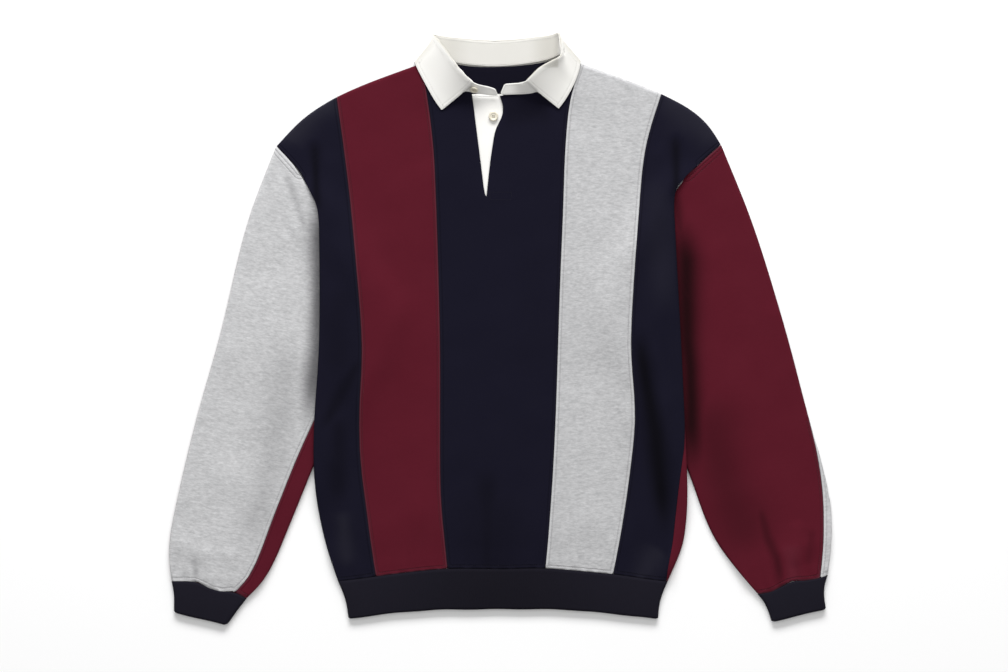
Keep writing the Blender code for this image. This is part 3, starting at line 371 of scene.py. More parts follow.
sleeveTurns = {"right": math.radians(10), "left": math.radians(-10)}
navy = jerseyMaterial("navyJersey", jerseyLooks["navy"])
maroon = jerseyMaterial("maroonJersey", jerseyLooks["maroon"])
grey = jerseyMaterial("greyJersey", jerseyLooks["grey"])
# The sleeves' grey is a paler copy of the grey: painted light, making up for the weaker lamp light on the
# sleeves.
greyWithPaintedLight = {
    **jerseyLooks["grey"], "dark": (0.364, 0.364, 0.371), "light": (0.632, 0.632, 0.640),
    "washed": (0.55, 0.55, 0.558)}
sleeveGrey = {
    side: jerseyMaterial(f"greyJersey_{side}", greyWithPaintedLight, turn) for side, turn in sleeveTurns.items()}
sleeveMaroon = {
    side: jerseyMaterial(f"maroonJersey_{side}", jerseyLooks["maroon"], turn)
    for side, turn in sleeveTurns.items()}
rib = jerseyMaterial("navyRib", jerseyLooks["rib"])
twill = twillMaterial("collarTwill")
resin = resinMaterial("buttonResin")
threads = {
    "navy": threadMaterial("navyThread", (0.0135, 0.0128, 0.0215)),
    "maroon": threadMaterial("maroonThread", (0.112, 0.033, 0.046)),
    "grey": threadMaterial("greyThread", (0.50, 0.50, 0.51)),
    "white": threadMaterial("whiteThread", (0.72, 0.71, 0.68)),
}


# Folds and creases: path, half width, height (a trough is below 0), and how much shade is painted at the
# bottom, or below 0 how much light is painted on the cloth there.
bodyFolds = (
    (((0.177, 0.01), (0.182, -0.01), (0.194, -0.081), (0.205, -0.14), (0.211, -0.206),
      (0.22, -0.285)), 0.0115, -0.0009, 0.82),
    (((0.201, -0.01), (0.214, -0.09), (0.227, -0.19)), 0.007, 0.0018, 0.0),
    (((0.166, -0.08), (0.18, -0.18), (0.188, -0.29)), 0.009, 0.0018, 0.0),
    (((-0.017, -0.175), (-0.017, -0.365)), 0.013, -0.0009, 0.36),
    (((-0.012, -0.205), (-0.006, -0.39)), 0.042, 0.0, 0.26),
    (((-0.18, -0.034), (-0.191, -0.054), (-0.215, -0.098), (-0.238, -0.14)), 0.0085, -0.0008, 0.42),
    (((-0.212, -0.11), (-0.213, -0.24)), 0.012, -0.0008, 0.36),
    (((-0.2086, -0.236), (-0.2006, -0.32)), 0.011, 0.0008, -0.25),
    (((-0.211, 0.06), (-0.211, -0.07)), 0.018, -0.0004, 0.2),
    (((-0.193, -0.14), (-0.19, -0.3)), 0.008, 0.0014, 0.0),
    (((-0.245, 0.254), (-0.244, 0.23), (-0.242, 0.177), (-0.24, 0.145)), 0.0058, -0.0009, 0.62),
    (((-0.226, 0.24), (-0.222, 0.12)), 0.011, 0.0014, 0.0),
    (((0.231, 0.262), (0.2315, 0.24), (0.232, 0.19), (0.231, 0.16)), 0.0058, -0.0009, 0.62),
    (((-0.21, 0.312), (-0.235, 0.297), (-0.251, 0.289), (-0.267, 0.2785), (-0.277, 0.267), (-0.288, 0.255),
      (-0.296, 0.238)), 0.02, 0.0, -0.5),  # painted highlight of the nap's sheen on the shoulders
    (((0.206, 0.314), (0.238, 0.297), (0.2535, 0.286), (0.264, 0.276), (0.275, 0.263), (0.285, 0.247),
      (0.292, 0.234)), 0.024, 0.0, -0.36),
    (((0.203, 0.21), (0.218, 0.01)), 0.022, 0.0, -0.14),
    (((0.212, -0.286), (0.18, -0.335)), 0.016, 0.0, -0.25),
    (((0.208, 0.25), (0.21, 0.13)), 0.011, 0.0014, 0.0),
    (((0.0, 0.284), (0.036, 0.282), (0.072, 0.29)), 0.016, -0.0004, 0.28),  # painted shade below the collar
    (((-0.092, 0.23), (-0.098, 0.08)), 0.026, 0.0012, 0.0),
    (((-0.06, -0.02), (-0.052, -0.2)), 0.024, 0.0012, 0.0),
    (((0.04, 0.11), (0.05, -0.08)), 0.026, -0.0008, 0.08),
)
sleeveFolds = (
    (((-0.2402, 0.185), (-0.2402, 0.104), (-0.2402, 0.038), (-0.2416, -0.028), (-0.249, -0.094),
      (-0.256, -0.15)), 0.013, -0.001, 0.84),  # painted shadow where the body lies on the right sleeve
    (((-0.284, 0.208), (-0.274, 0.18), (-0.251, 0.115)), 0.0042, -0.001, 0.32),
    (((-0.294, 0.202), (-0.264, 0.11)), 0.008, 0.0012, 0.0),
    (((-0.28, 0.01), (-0.29, -0.094), (-0.3, -0.18), (-0.33, -0.279), (-0.338, -0.33)),
     0.022, -0.0008, 0.2),
    (((0.235, 0.16), (0.2455, 0.088), (0.2455, 0.038), (0.2468, -0.0145), (0.2508, -0.054),
      (0.2521, -0.094), (0.2521, -0.133), (0.254, -0.173), (0.262, -0.215)),
     0.016, -0.001, 0.9),  # and painted shadow on the left one
    (((0.231, 0.188), (0.2345, 0.15), (0.239, 0.117), (0.242, 0.08)), 0.006, 0.0, 0.48),
    (((0.262, -0.08), (0.281, -0.133), (0.294, -0.199), (0.323, -0.265), (0.352, -0.31)),
     0.036, -0.0006, 0.33),
    (((0.278, 0.13), (0.284, 0.0), (0.29, -0.08)), 0.014, 0.0014, 0.0),
    (((0.362, 0.04), (0.392, -0.08)), 0.016, 0.0014, 0.0),
    (((0.34, -0.225), (0.352, -0.2746), (0.365, -0.3036), (0.371, -0.334), (0.3725, -0.352)),
     0.007, -0.0008, 0.46),
    (((0.383, -0.28), (0.386, -0.345)), 0.011, 0.0, -0.35),
    (((0.392, -0.25), (0.39, -0.318)), 0.008, 0.0012, 0.0),
    (((0.412, -0.262), (0.406, -0.318)), 0.006, -0.0008, 0.2),
    (((-0.404, -0.3), (-0.401, -0.335)), 0.004, -0.0009, 0.25),  # puckers above the right cuff, with painted shade in their trough
    (((-0.414, -0.27), (-0.413, -0.33)), 0.006, 0.0014, 0.0),
    (((-0.388, -0.285), (-0.383, -0.342)), 0.007, 0.0016, 0.0),
    (((-0.356, -0.285), (-0.354, -0.345)), 0.008, 0.0014, 0.0),
)
foldLook = {"start": 0.2, "end": 0.25, "uneven": 0.15, "turns": 9, "spread": 50}
waves = (  # slow unevenness of the cloth: angle, wave length, phase, height
    (0.3, 0.110, 0.4, 0.00014), (1.4, 0.085, 2.1, 0.00012), (2.5, 0.140, 4.0, 0.00020),
    (0.9, 0.062, 1.3, 0.00009), (2.0, 0.050, 5.2, 0.00008), (1.7, 0.190, 0.9, 0.00026),
)


def pathDistance(points, path):
    # How far each point lies off a path, signed by side, and its share of the path's length.
    path = np.array(path, float)[:, :2]
    steps = np.diff(path, axis=0)
    lengths = np.hypot(*steps.T)
    run = np.concatenate([[0], np.cumsum(lengths)])
    best = np.full(len(points), np.inf)
    share = np.zeros(len(points))
    for start, step, length, before in zip(path, steps, lengths, run):
        flat = points[:, :2] - start
        f = np.clip(flat @ step / length**2, 0, 1)
        off = np.hypot(*(flat - f[:, None] * step).T)
        side = np.sign(flat[:, 0] * step[1] - flat[:, 1] * step[0])
        nearer = off < np.abs(best)
        best = np.where(nearer, off * side, best)
        share = np.where(nearer, (before + f * length) / run[-1], share)
    return best, share


def foldShape(points, folds):
    # The height that the folds add, and how much shade is painted at each point, or below 0 how much light is
    # painted there.
    total, paintedShade, lit = np.zeros(len(points)), np.zeros(len(points)), np.zeros(len(points))
    for path, halfWidth, height, dark in folds:
        off, share = pathDistance(points, path)
        ends = smoothStep(share, 0, foldLook["start"]) * smoothStep(1 - share, 0, foldLook["end"])
        sway = np.sin(foldLook["turns"] * share + foldLook["spread"] * path[0][0])
        uneven = halfWidth * (1 + foldLook["uneven"] * sway)
        bell = ends * np.exp(-((off / uneven) ** 2))
        total += height * bell
        paintedShade = np.maximum(paintedShade, dark * bell)
        lit = np.minimum(lit, dark * bell)
    return total, paintedShade + lit


def waveHeight(points):
    total = np.zeros(len(points))
    for angle, waveLength, phase, height in waves:
        along = points[:, 0] * math.cos(angle) + points[:, 1] * math.sin(angle)
        total += height * np.sin(math.tau * along / waveLength + phase)
    return total


print("reading the seams")  # from the frame's own edges
sewing = {
    "reach": 0.015, "near": 0.0028, "edge": 0.0035,
    "closes": 0.46, "closesOnRib": 0.96, "tucks": 0.10, "closeReach": 0.0090,
    "higher": 0.0012, "under": 0.0009, "leftOnRib": 0.4,
    "roll": 0.0005, "rollWidth": 0.0011,
    "pitch": 0.0031, "length": 0.0024, "width": 0.00050, "height": 0.00040, "proud": 0.00008,
    "inset": 0.0038, "secondInset": 0.0084, "above": 0.006, "drop": 0.014, "steepest": 0.3,
}


def mergedCopy(node):
    # The node's loose triangles with their shared corners merged.
    copy = bmesh.new()
    copy.from_mesh(nodes[node].data)
    bmesh.ops.remove_doubles(copy, verts=copy.verts[:], dist=1e-6)
    return copy


def upperRims(wall):
    # Edges where an upper face turns down into the side wall: both ends and the way out.
    found = []
    for edge in wall.edges:
        if len(edge.link_faces) != 2:
            continue
        top, side = sorted((face.normal for face in edge.link_faces), key=lambda normal: -normal.z)
        if top.z > 0.6 and -0.9 < side.z < 0.6 and edge.calc_face_angle() > math.radians(40):
            out = np.array(side.xy) / max(side.xy.length, 1e-9)
            found.append((np.array(edge.verts[0].co), np.array(edge.verts[1].co), out))
    return found


rims, trees = {}, {}
for node in nodes:
    solid = mergedCopy(node)
    rims[node] = upperRims(solid)
    trees[node] = BVHTree.FromBMesh(solid)
    solid.free()


def seamEdges(node, others, near=sewing["near"]):
    # The rims of a node that meet any of the other nodes.
    def meets(point):
        return any((trees[other].find_nearest(point)[3] or 1) < near for other in others)
    return [rim for rim in rims[node] if meets(rim[0]) and meets(rim[1])]


def facingRims(node, direction, least=0.6):
    direction = np.array(direction) / np.linalg.norm(direction)
    return [rim for rim in rims[node] if rim[2] @ direction > least]


def distanceTo(points, edges):
    # How far each point lies from the nearest edge, up to the reach of the sewing.
    reach = sewing["reach"]
    nearest = np.full(len(points), reach)
    for start, end, _ in edges:
        low, high = np.minimum(start, end) - reach, np.maximum(start, end) + reach
        near = np.flatnonzero(np.all((points > low) & (points < high), axis=1))
        if len(near):
            run, flat = end - start, points[near] - start
            f = np.clip(flat @ run / max(run @ run, 1e-12), 0, 1)
            nearest[near] = np.minimum(nearest[near], np.linalg.norm(flat - f[:, None] * run, axis=1))
    return nearest


def rimEnds(edges, axis):
    ends = np.array([end for edge in edges for end in edge[:2]])
    return ends[np.argsort(ends[:, axis])]


hemLine = rimEnds(facingRims("waistband", (0, 1)), 0)
cuffLines = {
    side: rimEnds(facingRims(f"cuff_{side}", (0.25 * sign, 1)), 0)
    for side, sign in (("right", 1), ("left", -1))}
print("hem seam points", len(hemLine), "cuff seam points", [len(line) for line in cuffLines.values()])

gathers = {
    "hem": {"height": 0.0005, "reach": 0.030, "length": 0.019},
    "cuff": {"height": 0.0006, "reach": 0.026, "length": 0.015},
}
press = {"level": 0.0062, "cloth": 0.0018, "share": 0.88, "near": 0.020, "far": 0.085, "sleeve": 0.55}


def gatherHeight(distance, across, look, phase=0.0):
    wave = np.sin(math.tau * across / look["length"] + phase)
    wave = wave + 0.6 * np.sin(math.tau * across / (look["length"] * 1.7) + 2.3 * phase + 1)
    fade = smoothStep(distance, 0, 0.006) * np.exp(-np.maximum(distance, 0) / look["reach"])
    return look["height"] * wave * fade


def pressedHeight(points, normals, distance, least=0.0):
    # The frame's swell above a rib, pressed flatter towards the rib's own height.
    share = np.maximum(least, press["share"] * (1 - smoothStep(distance, press["near"], press["far"])))
    level = press["level"] - press["cloth"] * (1 - smoothStep(normals[:, 2], -0.3, 0.3))
    return -share * np.maximum(points[:, 2] - level, 0)


def bodyShape(points, normals):
    above = points[:, 1] - np.interp(points[:, 0], hemLine[:, 0], hemLine[:, 1])
    height, paintedShade = foldShape(points, bodyFolds)
    height += waveHeight(points) + gatherHeight(above, points[:, 0], gathers["hem"])
    return height + pressedHeight(points, normals, above), paintedShade


def cuffAxes(side):
    # The middle of the cuff's seam, the way along it and the way up the sleeve.
    line = cuffLines[side]
    along = line[-1] - line[0]
    along = along / np.linalg.norm(along)
    return line.mean(axis=0), along, np.array([-along[1], along[0], 0])


def sleeveShape(side):
    middle, along, up = cuffAxes(side)

    def shape(points, normals):
        height, paintedShade = foldShape(points, sleeveFolds)
        flat = points - middle
        phase = 1.1 if side == "left" else 0.2
        height += waveHeight(points) + gatherHeight(flat @ up, flat @ along, gathers["cuff"], phase)
        return height + pressedHeight(points, normals, flat @ up, press["sleeve"]), paintedShade

    return shape


print("laying the cloth")  # each piece is a fine shell on its solid's form


def quadCage(node):
    # The merged copy with its triangles paired into four-sided faces.
    cage = mergedCopy(node)
    bmesh.ops.join_triangles(
        cage, faces=cage.faces[:], angle_face_threshold=math.radians(35),
        angle_shape_threshold=math.radians(80))
    return cage


def creaseRims(cage, shortest=0.0, degrees=50, sharpness=0.62):
    # Edges that are shorter than `shortest` get no crease and come out rounded.
    crease = cage.edges.layers.float.new("crease_edge")
    for edge in cage.edges:
        if len(edge.link_faces) == 2 and edge.calc_face_angle() > math.radians(degrees):
            if edge.calc_length() > shortest:
                edge[crease] = sharpness


def subdivided(name, cage, levels):
    mesh = bpy.data.meshes.new(name)
    cage.to_mesh(mesh)
    cage.free()
    holder = bpy.data.objects.new(name + "_cage", mesh)
    bpy.context.scene.collection.objects.link(holder)
    rounding = holder.modifiers.new("round", "SUBSURF")
    rounding.levels = rounding.render_levels = levels
    graph = bpy.context.evaluated_depsgraph_get()
    fine = bpy.data.meshes.new_from_object(holder.evaluated_get(graph))
    bpy.data.objects.remove(holder)
    bpy.data.meshes.remove(mesh)
    fine.name = name
    return fine


def closeSeams(points, normals, seam, others):
    # Moves the edges of a piece almost up to the pieces that it is sewn to; the inner faces meet.
    moved = points.copy()
    for k in np.flatnonzero(seam < sewing["edge"]):
        found = []
        for other in others:
            hit, _, _, distance = trees[other].find_nearest(points[k])
            if hit is not None and distance < sewing["closeReach"]:
                found.append((distance, other, np.array(hit) - points[k]))
        if found:
            _, other, way = min(found, key=lambda entry: entry[0])
            rise, way = way[2], way[:2]
            length = max(np.linalg.norm(way), 1e-6)
            onRib = other == "waistband" or other.startswith("cuff")
            left = seam[k] * (sewing["leftOnRib"] if onRib else 1)
            gap = min(max(length - left, 0), sewing["near"])
            share = sewing["closesOnRib" if onRib else "closes"]
            if normals[k, 2] < 0.2:
                share += sewing["tucks"]
            if rise > sewing["higher"]:  # it slides in under an edge that lies higher
                gap = min(length, sewing["near"]) + sewing["under"]
                share = 1
            moved[k, :2] += share * (1 - smoothStep(seam[k], 0, sewing["edge"])) * gap * way / length
    return moved[:, :2]


def layCloth(node, look):
    cage = quadCage(node)
    creaseRims(cage, look.get("shortest", 0.0))
    mesh = subdivided(node + "_cloth", cage, look.get("levels", 3))
    points, normals = readPoints(mesh), readNormals(mesh)
    others = look.get("sewnTo", ()) + look.get("armhole", ())
    closing = distanceTo(points, seamEdges(node, others, sewing["closeReach"]))
    arm = distanceTo(points, seamEdges(node, look.get("armhole", ())))
    edges = look["edges"] if "edges" in look else seamEdges(node, others)
    seam = distanceTo(points, edges)
    paintedShade = np.zeros(len(points))
    shaped = points.copy()
    if "shape" in look:
        height, paintedShade = look["shape"](points, normals)
        weight = look["upper"](points) if "upper" in look else 1.0
        shaped[:, 2] += height * weight
        paintedShade = paintedShade * weight
    rolled = np.exp(-((seam / sewing["rollWidth"]) ** 2)) * np.clip(normals[:, 2], 0, 1)
    shaped[:, 2] -= sewing["roll"] * rolled
    shaped[:, :2] = closeSeams(points, normals, closing, others)
    writePoints(mesh, shaped)
    for name, values in (("seamDistance", seam), ("armDistance", arm), ("paintedShade", paintedShade)):
        keepValues(mesh, name, values)
    shadeRound(mesh)
    piece = newPiece(node + "_cloth", mesh, look["cloth"])
    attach(piece, "root")
    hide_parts(node)
    print("laid", node, len(mesh.polygons), "faces")
    return piece


upper = {"sleeve": (0.0020, 0.0043), "twill": (0.006, 0.012), "turn": 0.006, "samples": 7, "rows": 40}
neck = {"shade": 0.38, "front": (0.290, 0.310), "back": (0.352, 0.356), "side": (0.070, 0.090)}


def upperSleeve(points):
    # The folds are on the upper layer only.
    return smoothStep(points[:, 2], *upper["sleeve"])


def upperFront(node, sign):
    # The folds fade out where the front turns under at its side.
    corners = readPoints(nodes[node].data)
    ends = np.array([tuple(edge.vertices) for edge in nodes[node].data.edges])
    places = np.concatenate([
        corners[ends[:, 0]] * (1 - f) + corners[ends[:, 1]] * f
        for f in np.linspace(0, 1, upper["samples"])])
    rows = np.linspace(places[:, 1].min(), places[:, 1].max(), upper["rows"])
    line = []
    for low, high in zip(rows, rows[1:]):
        inside = places[(places[:, 1] >= low) & (places[:, 1] <= high)]
        if len(inside):
            line.append(((low + high) / 2, sign * np.max(sign * inside[:, 0])))
    line = np.array(line)

    def weight(points):
        return smoothStep(np.abs(np.interp(points[:, 1], *line.T) - points[:, 0]), 0.0, upper["turn"])

    return weight


def neckShade(points, normals):
    # The inside of the neck lies deeper than the rest, and gets less light.
    inNeck = smoothStep(points[:, 1], *neck["front"]) * (1 - smoothStep(points[:, 1], *neck["back"]))
    shade = neck["shade"] * inNeck * (1 - smoothStep(np.abs(points[:, 0]), *neck["side"]))
    return np.zeros(len(points)), shade


navyPanel = {"cloth": navy, "slot": "navy_jersey", "shape": bodyShape}
panels = {
    "front_side_right": {
        **navyPanel, "sewnTo": ("front_stripe_maroon", "waistband", "sleeve_right_front"),
        "upper": upperFront("front_side_right", -1)},
    "front_stripe_maroon": {
        "cloth": maroon, "slot": "maroon_jersey", "shape": bodyShape,
        "sewnTo": ("front_side_right", "front_centre", "waistband")},
    "front_centre": {**navyPanel, "sewnTo": ("front_stripe_maroon", "front_stripe_grey", "waistband")},
    "front_stripe_grey": {
        "cloth": grey, "slot": "grey_jersey", "shape": bodyShape,
        "sewnTo": ("front_centre", "front_side_left", "waistband")},
    "front_side_left": {
        **navyPanel, "sewnTo": ("front_stripe_grey", "waistband", "sleeve_left_front"),
        "upper": upperFront("front_side_left", 1)},
    "back_centre": {
        **navyPanel, "sewnTo": ("back_side_left", "waistband"), "shape": neckShade, "levels": 2},
    "back_side_left": {
        "cloth": maroon, "slot": "maroon_jersey", "sewnTo": ("back_centre", "waistband"), "levels": 2},
}
for side, front, back, slots in (
    ("right", sleeveGrey, sleeveMaroon, ("grey_jersey", "maroon_jersey")),
    ("left", sleeveMaroon, sleeveGrey, ("maroon_jersey", "grey_jersey")),
):
    sleeve = {"shape": sleeveShape(side), "upper": upperSleeve}
    panels[f"sleeve_{side}_front"] = {
        **sleeve, "cloth": front[side], "slot": slots[0], "armhole": (f"front_side_{side}",),
        "sewnTo": (f"sleeve_{side}_back", f"cuff_{side}")}
    panels[f"sleeve_{side}_back"] = {
        **sleeve, "cloth": back[side], "slot": slots[1], "sewnTo": (f"sleeve_{side}_front", f"cuff_{side}")}

cloth = {}
for node, look in panels.items():
    cloth[node] = layCloth(node, look)


print("knitting the ribbed waistband and cuffs")
ribKnit = {
    "pitch": 0.0030, "depth": 0.00042, "step": 0.00058, "levels": 2, "edge": (0.0002, 0.0022),
    "shade": 0.35, "shadeReach": 0.19, "slant": 0.6, "sharp": 55, "phase": 40,
    "corner": 0.0050, "round": 0.0018, "uneven": 0.0004, "wander": 0.011,
}


def isOuter(tree, place, normal):
    # True on the rib's upper side, where none of it lies above.
    return normal.z > 0.2 and tree.ray_cast(place + normal * 1e-4, normal)[0] is None


def layRib(node, up):
    cage = quadCage(node)
    creaseRims(cage)
    mesh = subdivided(node + "_rib", cage, ribKnit["levels"])
    fine = bmesh.new()
    fine.from_mesh(mesh)
    tree = BVHTree.FromBMesh(fine)
    up = Vector(up).normalized()
    across = Vector((up.y, -up.x, 0))
    outer = [face for face in fine.faces if isOuter(tree, face.calc_center_median(), face.normal)]
    around = {
        edge for face in outer for edge in face.edges
        if abs((edge.verts[1].co - edge.verts[0].co).normalized().dot(up)) < ribKnit["slant"]}
    middle = sorted(edge.calc_length() for edge in around)[len(around) // 2]
    cuts = max(1, round(middle / ribKnit["step"]) - 1)
    bmesh.ops.subdivide_edges(fine, edges=list(around), cuts=cuts, use_grid_fill=True)
    fine.normal_update()
    tree = BVHTree.FromBMesh(fine)
    free = facingRims(node, (-up.x, -up.y))
    edges = seamEdges(node, seamMates[node]) + free
    points = np.array([vert.co for vert in fine.verts])
    run = points @ np.array(across)
    low = np.exp(-((distanceTo(points, free) / ribKnit["corner"]) ** 2))
    ends = [np.array(end) @ np.array(across) for rim in free for end in rim[:2]]
    inset = np.clip(np.minimum(run - min(ends), max(ends) - run) / ribKnit["corner"], 0, 1)
    wander = np.sin(run / ribKnit["wander"] + ribKnit["phase"] * max(ends))
    lift = low * (ribKnit["round"] * (1 - inset) ** 2 + ribKnit["uneven"] * wander)
    for vert, rise in zip(fine.verts, lift):
        vert.co += up * rise
    fromEdge = smoothStep(distanceTo(points, edges), *ribKnit["edge"])
    for vert, fade in zip(fine.verts, fromEdge):
        if fade > 0 and isOuter(tree, vert.co, vert.normal):
            turn = math.cos(math.tau * vert.co.dot(across) / ribKnit["pitch"])
            vert.co -= vert.normal * ribKnit["depth"] * fade * (0.5 - 0.5 * turn)
    fine.to_mesh(mesh)
    fine.free()
    points = readPoints(mesh)
    for name in ("seamDistance", "armDistance"):
        keepValues(mesh, name, np.full(len(points), sewing["reach"]))
    # Painted shade on the waistband, deepest at its middle; the cuffs lie beyond its reach.
    inMiddle = 1 - smoothStep(np.abs(points[:, 0]), 0.0, ribKnit["shadeReach"])
    keepValues(mesh, "paintedShade", ribKnit["shade"] * inMiddle)
    shadeRound(mesh, ribKnit["sharp"])
    piece = newPiece(node + "_rib", mesh, rib)
    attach(piece, "root")
    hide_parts(node)
    print("knitted", node, len(mesh.polygons), "faces, cuts", cuts)
    return piece


seamMates = {
    "waistband": (
        "front_side_right", "front_stripe_maroon", "front_centre", "front_stripe_grey", "front_side_left"),
    "cuff_right": ("sleeve_right_front", "sleeve_right_back"),
    "cuff_left": ("sleeve_left_front", "sleeve_left_back"),
}
cloth["waistband"] = layRib("waistband", (0, 1, 0))
for side in ("right", "left"):
    cloth[f"cuff_{side}"] = layRib(f"cuff_{side}", cuffAxes(side)[2])


print("making the placket, the collar and the buttons")
innerCollar = {
    "shade": 0.52, "endShade": 0.20, "leftShade": 0.10, "low": 0.340, "high": 0.346,
    "leftFold": 0.0770, "rightFold": (0.060, 0.090), "foldLow": 0.348, "foldSlope": 0.825, "soft": 0.003,
}


def innerShade(points):
    # The back of the collar, where it turns under, is the least lit of the white.
    aside = np.abs(points[:, 0])
    depth = innerCollar["shade"] + innerCollar["endShade"] * smoothStep(aside, 0.036, 0.066)
    depth += innerCollar["leftShade"] * smoothStep(points[:, 0], 0.030, 0.060)
    slanted = 0.057 + innerCollar["foldSlope"] * (points[:, 1] - innerCollar["foldLow"])
    fold = np.where(points[:, 0] > 0, innerCollar["leftFold"], np.clip(slanted, *innerCollar["rightFold"]))
    inside = 1 - smoothStep(aside, fold - innerCollar["soft"], fold + innerCollar["soft"])
    return depth * inside * smoothStep(points[:, 1], innerCollar["low"], innerCollar["high"])


glare = {"toLight": (0, 0.894, 0.447), "air": 0.5, "lamp": 1.28, "share": 1.25, "range": 0.44}


def glareShade(normals):
    # Paints shade on the white cloth where it turns to the lamp, so that it doesn't glare.
    flat = glare["air"] + glare["lamp"] * glare["toLight"][2]
    level = glare["air"] + glare["lamp"] * np.clip(normals @ np.array(glare["toLight"]), 0, 1)
    return np.clip(glare["share"] * (1 - flat / level) / glare["range"], 0, 1)


band = {"side": (0.012, 0.040), "back": (0.330, 0.334), "level": 0.0100, "lowered": 0.6}


def bandShape(points, normals):
    # The front ends are laid lower than the solid's.
    ends = 1 - smoothStep(np.abs(points[:, 0]), *band["side"])
    ends = ends * (1 - smoothStep(points[:, 1], *band["back"]))
    return -band["lowered"] * ends * np.maximum(points[:, 2] - band["level"], 0), innerShade(points)


leaves = {"bow": 0.0002, "across": 0.013, "along": 0.019, "shade": 0.14, "leftShade": 0.10, "middle": 0.02}


def leafShape(points, normals):
    # Slight bowing of the leaves between their edges, and the shade painted on each.
    bow = leaves["bow"] * np.sin(points[:, 0] / leaves["across"] + 1.0)
    height = bow * np.sin(points[:, 1] / leaves["along"])
    shade = leaves["shade"] + leaves["leftShade"] * smoothStep(
        points[:, 0], -leaves["middle"], leaves["middle"])
    shade = np.maximum(innerShade(points), shade + glareShade(normals))
    return height * smoothStep(points[:, 2], *upper["twill"]), np.clip(shade, 0, 1)


white = {"cloth": twill, "slot": "collar_twill"}
cloth["placket_stand"] = layCloth("placket_stand", {
    **white, "shape": bodyShape, "edges": rims["placket_stand"]})
cloth["placket_fly"] = layCloth("placket_fly", {**navyPanel, "edges": ()})
leafRims = [rim for rim in rims["collar_fall"] if rim[0][1] < 0.355 and rim[2][1] < 0.3]
cloth["collar_band"] = layCloth("collar_band", {
    **white, "edges": (), "shape": bandShape, "shortest": 0.0020, "sewnTo": ("collar_fall",)})
cloth["collar_fall"] = layCloth("collar_fall", {
    **white, "edges": leafRims, "shape": leafShape, "sewnTo": ("collar_band",)})


fly = {"edge": 0.0050, "upper": 0.0010, "rise": 0.00022, "sunk": 0.00006, "under": 0.0004}


def pieceTree(piece):
    mesh = piece.data
    return BVHTree.FromPolygons(
        [vert.co for vert in mesh.vertices], [tuple(face.vertices) for face in mesh.polygons])


def pressFly():
    # The fly is pressed into the front, so that only its box of stitches shows.
    under = pieceTree(cloth["front_centre"])
    mesh = cloth["placket_fly"].data
    points = readPoints(mesh)
    middle = smoothStep(distanceTo(points, rims["placket_fly"]), 0.0, fly["edge"])
    for point, share in zip(points, middle):
        below = under.find_nearest(point)[0]
        isUpper = point[2] - below.z > fly["upper"]
        point[2] = below.z + (fly["rise"] * share - fly["sunk"] if isUpper else -fly["under"])
    writePoints(mesh, points)


pressFly()
for name in ("button_placket", "button_collar"):
    button = nodes[name]
    button.data.materials.clear()
    button.data.materials.append(resin)


print("sewing")  # rows of short beads of thread, laid along the seams


def orderedLines(edges):
    # Joins loose edges end to end: each line's points, and the way out at each step.
    def spot(point):
        return tuple(np.round(point, 6))

    meeting = {}
    for k, edge in enumerate(edges):
        for point in edge[:2]:
            meeting.setdefault(spot(point), []).append(k)
    left = set(range(len(edges)))

    def isEnd(point):
        return sum(j in left for j in meeting[spot(point)]) == 1

    lines = []
    while left:
        starts = [(k, point) for k in sorted(left) for point in edges[k][:2] if isEnd(point)]
        k, here = starts[0] if starts else (min(left), edges[min(left)][0])
        line, outs = [here], []
        while k is not None:
            left.discard(k)
            here = edges[k][1] if spot(edges[k][0]) == spot(here) else edges[k][0]
            line.append(here)
            outs.append(edges[k][2])
            k = next((j for j in meeting[spot(here)] if j in left), None)
        lines.append((np.array(line), np.array(outs)))
    return lines


def insetLine(line, outs, inset):
    # Even steps along a line, moved in from the edge.
    pitch = sewing["pitch"]
    steps = np.linalg.norm(np.diff(line, axis=0), axis=1)
    run = np.concatenate([[0], np.cumsum(steps)])
    at = np.arange(pitch / 2, run[-1], pitch)
    middles = (run[1:] + run[:-1]) / 2
    places = np.column_stack([np.interp(at, run, line[:, axis]) for axis in range(3)])
    out = np.column_stack([np.interp(at, middles, outs[:, axis]) for axis in range(2)])
    out /= np.maximum(np.linalg.norm(out, axis=1), 1e-9)[:, None]
    places[:, :2] -= out * inset
    return places


def sewLine(thread, tree, places):
    # Drops one bead at each place onto the cloth below it.
    if len(places) < 3:
        return
    for place, along in zip(places, np.gradient(places, axis=0)):
        above = Vector((place[0], place[1], place[2] + sewing["above"]))
        hit, normal, _, distance = tree.ray_cast(above, Vector((0, 0, -1)))
        if hit is None or distance > sewing["drop"] or normal.z < sewing["steepest"]:
            continue
        along = Vector(along)
        along = (along - normal * along.dot(normal)).normalized()
        aside = normal.cross(along)
        sides = [
            way * sewing[size] / 2 for way, size in ((along, "length"), (aside, "width"), (normal, "height"))]
        bmesh.ops.create_icosphere(
            thread, subdivisions=1, radius=1,
            matrix=Matrix.Translation(hit + normal * sewing["proud"]) @ Matrix(sides).transposed().to_4x4())


rows = {  # the thread's colour, and the neighbours along each seam
    "front_stripe_maroon": ("maroon", (("front_side_right", "front_centre"), ("waistband",))),
    "front_stripe_grey": ("grey", (("front_side_left", "front_centre"), ("waistband",))),
    "front_centre": ("navy", (("waistband",),)),
    "front_side_right": ("navy", (("waistband",),)),
    "front_side_left": ("navy", (("waistband",),)),
    "sleeve_right_front": ("grey", (("front_side_right",), ("cuff_right",), ("sleeve_right_back",))),
    "sleeve_left_front": ("maroon", (("front_side_left",), ("cuff_left",), ("sleeve_left_back",))),
    "sleeve_right_back": ("maroon", (("cuff_right",),)),
    "sleeve_left_back": ("grey", (("cuff_left",),)),
}


